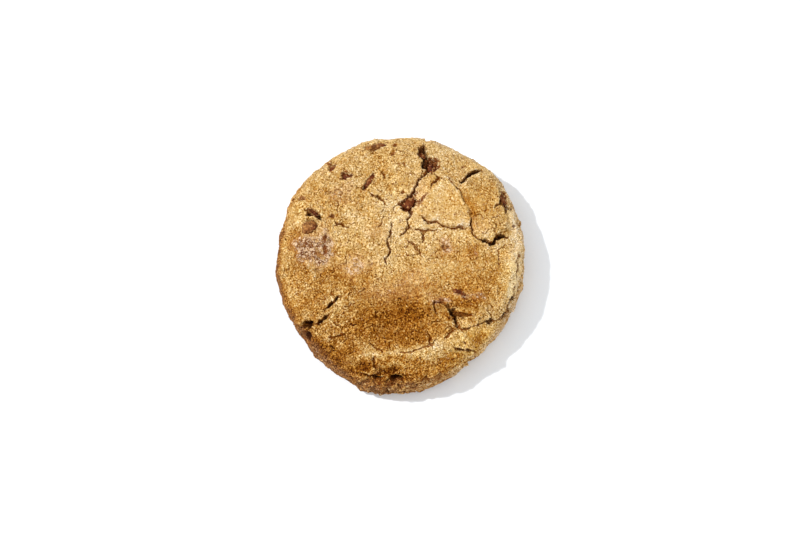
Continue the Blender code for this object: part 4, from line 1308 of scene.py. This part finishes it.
def baked_crust():
    """Dry sugary crust, browned in places, with grains, pores and cracks painted dark as shade, painted
    highlight and shade in its finest relief, and smeared chocolate.
    """
    made, tree, shader = new_material("baked_crust")
    skin = crust_skin(tree)
    colour = opened_up(tree, skin, smeared(tree, skin, crust_colour(tree, skin)))
    height = skin.fleck + 0.9 * skin.crumb + 0.35 * skin.rounded - 0.6 * skin.pore - 0.6 * skin.split
    height = height - 0.4 * skin.wrinkle - 0.4 * skin.crinkle
    height = height * (1 + skin.crumbled.at_most(0.0) - 0.3 * skin.side)
    bump = {"Height": height, "Strength": 1.0, "Distance": RELIEF_DEPTH * MM}
    finish = {
        "Base Color": colour,
        "Roughness": 0.70 + 0.3 * skin.mottle + 0.1 * skin.side,
        "Normal": node(tree, "ShaderNodeBump", {}, bump),
        "Specular IOR Level": 0.03,
    }
    fill(shader, finish)
    return made


dough = grown(
    link("dough_form", dough_mesh()),
    granules_tree(),
    {"Granule size": 0.85, "Granule height": 0.16, "Strays": 0.9, "Seed": 3.0, "Finish": baked_crust()},
    "cookie_dough",
)
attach(dough, "root")
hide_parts("cookie")

# ------------------------------------------------------------------------------------------------------
# The milk chocolate. Chopped chunks that sank into the dough as it rose: the crust has split over them,
# and their corners have melted and taken up crumb.

CHUNK_DEPTH = 2.6
CHUNK_SKEW = 0.30  # how far a chunk's corners are out of square, as a share of its size
CHUNK_MELT = 0.62  # how far it has melted from a block towards a round lump
CHUNK_CUTS = 13  # across each of its faces
CHUNK_ROUGHNESS = ((1.6, 0.34, 7), (0.8, 0.20, 8), (0.4, 0.08, 9))  # size, height, seed
CHUNK_SINK = 0.7  # a bare chunk's top lies this far below the crust, which has shrunk back round it
CHUNK_SEED = 101
FILM_WIDTH = 3.6  # a chunk's film thins out over this distance, towards the front right, painting shade there
FILM_START = 0.75  # and covers this share of it at its middle
SLOPE_STEP = 0.5  # the crust's slope under a chunk is measured over this distance each way
CHOCOLATE_RELIEF = 0.15  # of what the chocolate's finest relief adds

CHOCOLATE_DARK = paint(66, 22, 0)
CHOCOLATE_LIGHT = paint(130, 64, 24)
FILM_DARK = paint(98, 52, 14)
FILM_LIGHT = paint(190, 134, 70)
CRUMB_COLOUR = paint(204, 152, 96)


def relief_without_cracks(place):
    """The crust's broad relief at one place, as if no crack ran through it."""
    plan = np.array([place], float)
    lifted = sum(flake(depth_inside(plan, corners), height) for corners, height in FLAKES.values())
    return float((summed(swell, plan, SWELLS) + lifted)[0])


def crust_frame(centre, turn):
    """Where a chunk lies at `centre`: its Z along the crust's normal and its X along `turn`."""

    def top(x, y):
        return float(dome(math.hypot(x, y) / outline_radius(math.atan2(y, x))))

    x, y = centre + CRUST_MIDDLE
    slope_x = (top(x + SLOPE_STEP, y) - top(x - SLOPE_STEP, y)) / (2 * SLOPE_STEP)
    slope_y = (top(x, y + SLOPE_STEP) - top(x, y - SLOPE_STEP)) / (2 * SLOPE_STEP)
    normal = Vector((-slope_x, -slope_y, 1)).normalized()
    along = Vector((*unit(turn), 0))
    along = (along - normal * along.dot(normal)).normalized()
    across = normal.cross(along)
    place = Vector((x, y, top(x, y))) + normal * relief_without_cracks(centre)
    return Matrix.Translation(place) @ Matrix((along, across, normal)).transposed().to_4x4()


def chunk_mesh(name, size, seed, place):
    """A chopped block, out of square, half melted and roughened, set in its place."""
    random = np.random.default_rng(seed)
    half = np.array((*size, CHUNK_DEPTH)) / 2
    made = bmesh.new()
    bmesh.ops.create_cube(made, size=2.0)
    bmesh.ops.subdivide_edges(made, edges=made.edges[:], cuts=CHUNK_CUTS, use_grid_fill=True)
    sides = np.array([point.co for point in made.verts])
    block = np.zeros_like(sides)
    for corner in itertools.product((-1, 1), repeat=3):
        skew = 1 + CHUNK_SKEW * random.uniform(-1, 1, 3)
        block += np.prod((1 + sides * corner) / 2, axis=1)[:, None] * half * corner * skew
    out = sides / np.linalg.norm(sides, axis=1)[:, None]
    spots = block * (1 - CHUNK_MELT) + half * out * CHUNK_MELT
    for crag, height, crag_seed in CHUNK_ROUGHNESS:
        spots += out * (height * lattice_noise(spots + seed, crag, crag_seed))[:, None]
    spots[:, 2] -= half[2]
    for point, spot in zip(made.verts, spots):
        point.co = (place @ Vector(spot)) * MM
    bmesh.ops.recalc_face_normals(made, faces=made.faces[:])
    mesh = bpy.data.meshes.new(name)
    made.to_mesh(mesh)
    made.free()
    mesh.shade_smooth()
    return mesh


def milk_chocolate():
    """Dull melted milk chocolate, paler where it has bloomed, with crumb stuck to it."""
    made, tree, shader = new_material("milk_chocolate")
    place = vectors(tree, "SCALE", node(tree, "ShaderNodeTexCoord", {}, {}, "Object"), 1 / MM)
    film = kept(tree, "film")
    broad = noise(tree, place, 0.6, 2.0, seed=11.0)
    fine = noise(tree, place, 2.2, 2.0, 0.6, seed=12.0)
    crumb = noise(tree, place, 1.5, 2.0, 0.6, seed=13.0)
    plain = (0.45 + 2.0 * broad + 2.2 * fine).clipped()
    mottled = (0.4 + 2.0 * broad + 3.4 * fine + 1.6 * crumb).clipped()
    colour = blend(tree, plain, CHOCOLATE_DARK, CHOCOLATE_LIGHT)
    # The paler film paints the chunk lighter towards the key light and darker away from it.
    colour = blend(tree, film, colour, blend(tree, mottled, FILM_DARK, FILM_LIGHT))
    dusted = crumb.between(0.06, 0.14) * (0.8 - 0.4 * film)
    bump = {"Height": fine + dusted, "Strength": 0.6, "Distance": CHOCOLATE_RELIEF * MM}
    finish = {
        "Base Color": blend(tree, dusted, colour, CRUMB_COLOUR),
        "Roughness": 0.48 + 0.5 * broad + 0.4 * dusted,
        "Normal": node(tree, "ShaderNodeBump", {}, bump),
        "Specular IOR Level": 0.1,
    }
    fill(shader, finish)
    return made


def film_and_painted_shade(mesh, place, film):
    """How much of the crust's film covers each point of a chunk. It thins towards the front right, away
    from the key light, so that the darker chocolate shows there as painted shade.
    """
    out = np.array([point.co for point in mesh.vertices]) / MM - np.array(place.translation)
    return np.clip(film * (FILM_START - (out[:, 0] - out[:, 1]) / FILM_WIDTH), 0, 1)


chocolate = milk_chocolate()
for seed, (name, (centre, size, turn, proud, film, _)) in enumerate(CHUNKS.items(), start=CHUNK_SEED):
    place = crust_frame(centre, turn) @ Matrix.Translation((0, 0, proud - CHUNK_SINK * max(0, 1 - film)))
    shown = name.replace("chunk", "chocolate")
    chunk = link(shown, chunk_mesh(shown, size, seed, place))
    keep_value(chunk.data, "film", film_and_painted_shade(chunk.data, place, film))
    chunk.data.materials.append(chocolate)
    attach(chunk, "root")
    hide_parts(name)

# ------------------------------------------------------------------------------------------------------
# The loose crumb. Grains of sugar and crumb, under a millimetre across, that have stuck to the crust as
# it dried.

GRAIN_DENSITY = 0.45  # for each square millimetre
GRAIN_RADIUS = (0.14, 0.34)
GRAIN_SQUASH = (0.8, 0.6)  # a grain's width and height, as shares of its length
GRAIN_TURN = (6.28, 6.28, 6.28)  # radians
GRAIN_FOOT = (2, 4)  # none lies below the first height, and above the second they lie thickest
GRAIN_PALE = paint(240, 204, 148)
GRAIN_BROWN = paint(168, 108, 44)


def grains_tree():
    """Scatters grains over the crust, each with its own size, turn and tone."""
    sizes = {
        "Density": ("NodeSocketFloat", 1.0),
        "Smallest": ("NodeSocketFloat", 0.12),
        "Largest": ("NodeSocketFloat", 0.32),
        "Seed": ("NodeSocketInt", 0),
        "Finish": ("NodeSocketMaterial", None),
    }
    tree, entry, size = geometry_tree("grains", sizes)
    low, high = GRAIN_FOOT
    width, flatness = GRAIN_SQUASH
    room = (1 - attribute_value(tree, "gap")) * height_above_floor(tree).between(low * MM, high * MM)
    inputs = {"Mesh": entry, "Density": size["Density"] * room, "Seed": size["Seed"]}
    spots = node(tree, "GeometryNodeDistributePointsOnFaces", {}, inputs)
    grain = node(tree, "GeometryNodeMeshIcoSphere", {}, {"Radius": 1.0, "Subdivisions": 1})
    # A Random Value node gives directions by its sockets 0 and 1, and numbers by 2 and 3.
    inputs = {2: size["Smallest"], 3: size["Largest"], "Seed": size["Seed"]}
    scale = node(tree, "FunctionNodeRandomValue", {}, inputs, 1)
    squash = node(tree, "ShaderNodeCombineXYZ", {}, {0: scale, 1: scale * width, 2: scale * flatness})
    inputs = {0: (0, 0, 0), 1: GRAIN_TURN, "Seed": 5}
    turn = node(tree, "FunctionNodeRandomValue", {"data_type": "FLOAT_VECTOR"}, inputs)
    inputs = {"Points": spots, "Instance": grain, "Rotation": turn, "Scale": squash}
    laid = node(tree, "GeometryNodeInstanceOnPoints", {}, inputs)
    tone = node(tree, "FunctionNodeRandomValue", {}, {2: 0.0, 3: 1.0, "Seed": 9}, 1)
    settings = {"data_type": "FLOAT", "domain": "INSTANCE"}
    inputs = {"Geometry": laid, "Name": "tone", "Value": tone}
    toned = node(tree, "GeometryNodeStoreNamedAttribute", settings, inputs)
    real = node(tree, "GeometryNodeRealizeInstances", {}, {"Geometry": toned})
    return deliver(tree, real, size["Finish"])


def loose_crumb():
    """Grains from pale sugar to baked crumb, browner where the crust under them is."""
    made, tree, shader = new_material("loose_crumb")
    brown = kept(tree, "tone") * 0.7 + kept(tree, "toast") * 1.6
    colour = blend(tree, brown.clipped(), GRAIN_PALE, GRAIN_BROWN)
    fill(shader, {"Base Color": colour, "Roughness": 0.8, "Specular IOR Level": 0.1})
    return made


grains = grown(
    link("grain_bed", dough.data.copy()),
    grains_tree(),
    {
        "Density": GRAIN_DENSITY / MM**2,
        "Smallest": GRAIN_RADIUS[0] * MM,
        "Largest": GRAIN_RADIUS[1] * MM,
        "Seed": 4,
        "Finish": loose_crumb(),
    },
    "crumb_grains",
)
grains.data.shade_smooth()
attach(grains, "root")

# ------------------------------------------------------------------------------------------------------
# The floor, the light and the camera. The cookie lies on plain white paper under one hard light, high at
# the left, with white all round, and is seen from nearly overhead.

FLOOR_REACH = 2.0  # metres
FLOOR_COLOUR = (0.845, 0.88, 0.92, 1)
FLOOR_GLOW = 0.03  # the paper is lit from below as well, which keeps its shadow pale
SHADOW_SHARE = 0.95  # brightness of the world, which is all that lights the shadow
KEY_STRENGTH = 2.3
KEY_TURN = 168.0
KEY_HEIGHT = 52.0
KEY_SIZE = 3.0  # as an angle, which gives the shadow's edge its softness
CAMERA_TURN = -90.0
CAMERA_HEIGHT = 73.0
CAMERA_DISTANCE = 0.708  # metres
CAMERA_LENS = 100.0
CAMERA_AIM = Vector((-0.31, -2.05, 10.0)) * MM
WHITE = (1, 1, 1, 1)

corners = [(x * FLOOR_REACH, y * FLOOR_REACH, 0) for x, y in ((-1, -1), (1, -1), (1, 1), (-1, 1))]
floor_mesh = bpy.data.meshes.new("floor")
floor_mesh.from_pydata(corners, [], [(0, 1, 2, 3)])
floor = link("floor", floor_mesh)
paper, _, paper_shader = new_material("paper")
paper_finish = {
    "Base Color": FLOOR_COLOUR,
    "Roughness": 0.9,
    "Specular IOR Level": 0.0,
    "Emission Color": WHITE,
    "Emission Strength": FLOOR_GLOW,
}
fill(paper_shader, paper_finish)
floor.data.materials.append(paper)

world = bpy.data.worlds.new("white_room")
world.use_nodes = True
fill(world.node_tree.nodes["Background"], {"Color": WHITE, "Strength": SHADOW_SHARE})
bpy.context.scene.world = world


def away(turn, height):
    """The direction towards a turn, counted from +X, and a height above the floor."""
    level = math.cos(math.radians(height))
    cos, sin = unit(turn)
    return Vector((cos * level, sin * level, math.sin(math.radians(height))))


def facing_back(turn, height):
    """How a light or a camera out in that direction is turned, to face the cookie."""
    return away(turn, height).to_track_quat("Z", "Y").to_euler()


key = link("key", bpy.data.lights.new("key", "SUN"))
key.data.energy = KEY_STRENGTH
key.data.angle = math.radians(KEY_SIZE)
key.rotation_euler = facing_back(KEY_TURN, KEY_HEIGHT)

camera = link("camera", bpy.data.cameras.new("camera"))
camera.data.lens = CAMERA_LENS
camera.location = CAMERA_AIM + away(CAMERA_TURN, CAMERA_HEIGHT) * CAMERA_DISTANCE
camera.rotation_euler = facing_back(CAMERA_TURN, CAMERA_HEIGHT)
bpy.context.scene.camera = camera
bpy.context.scene.view_settings.view_transform = "Standard"
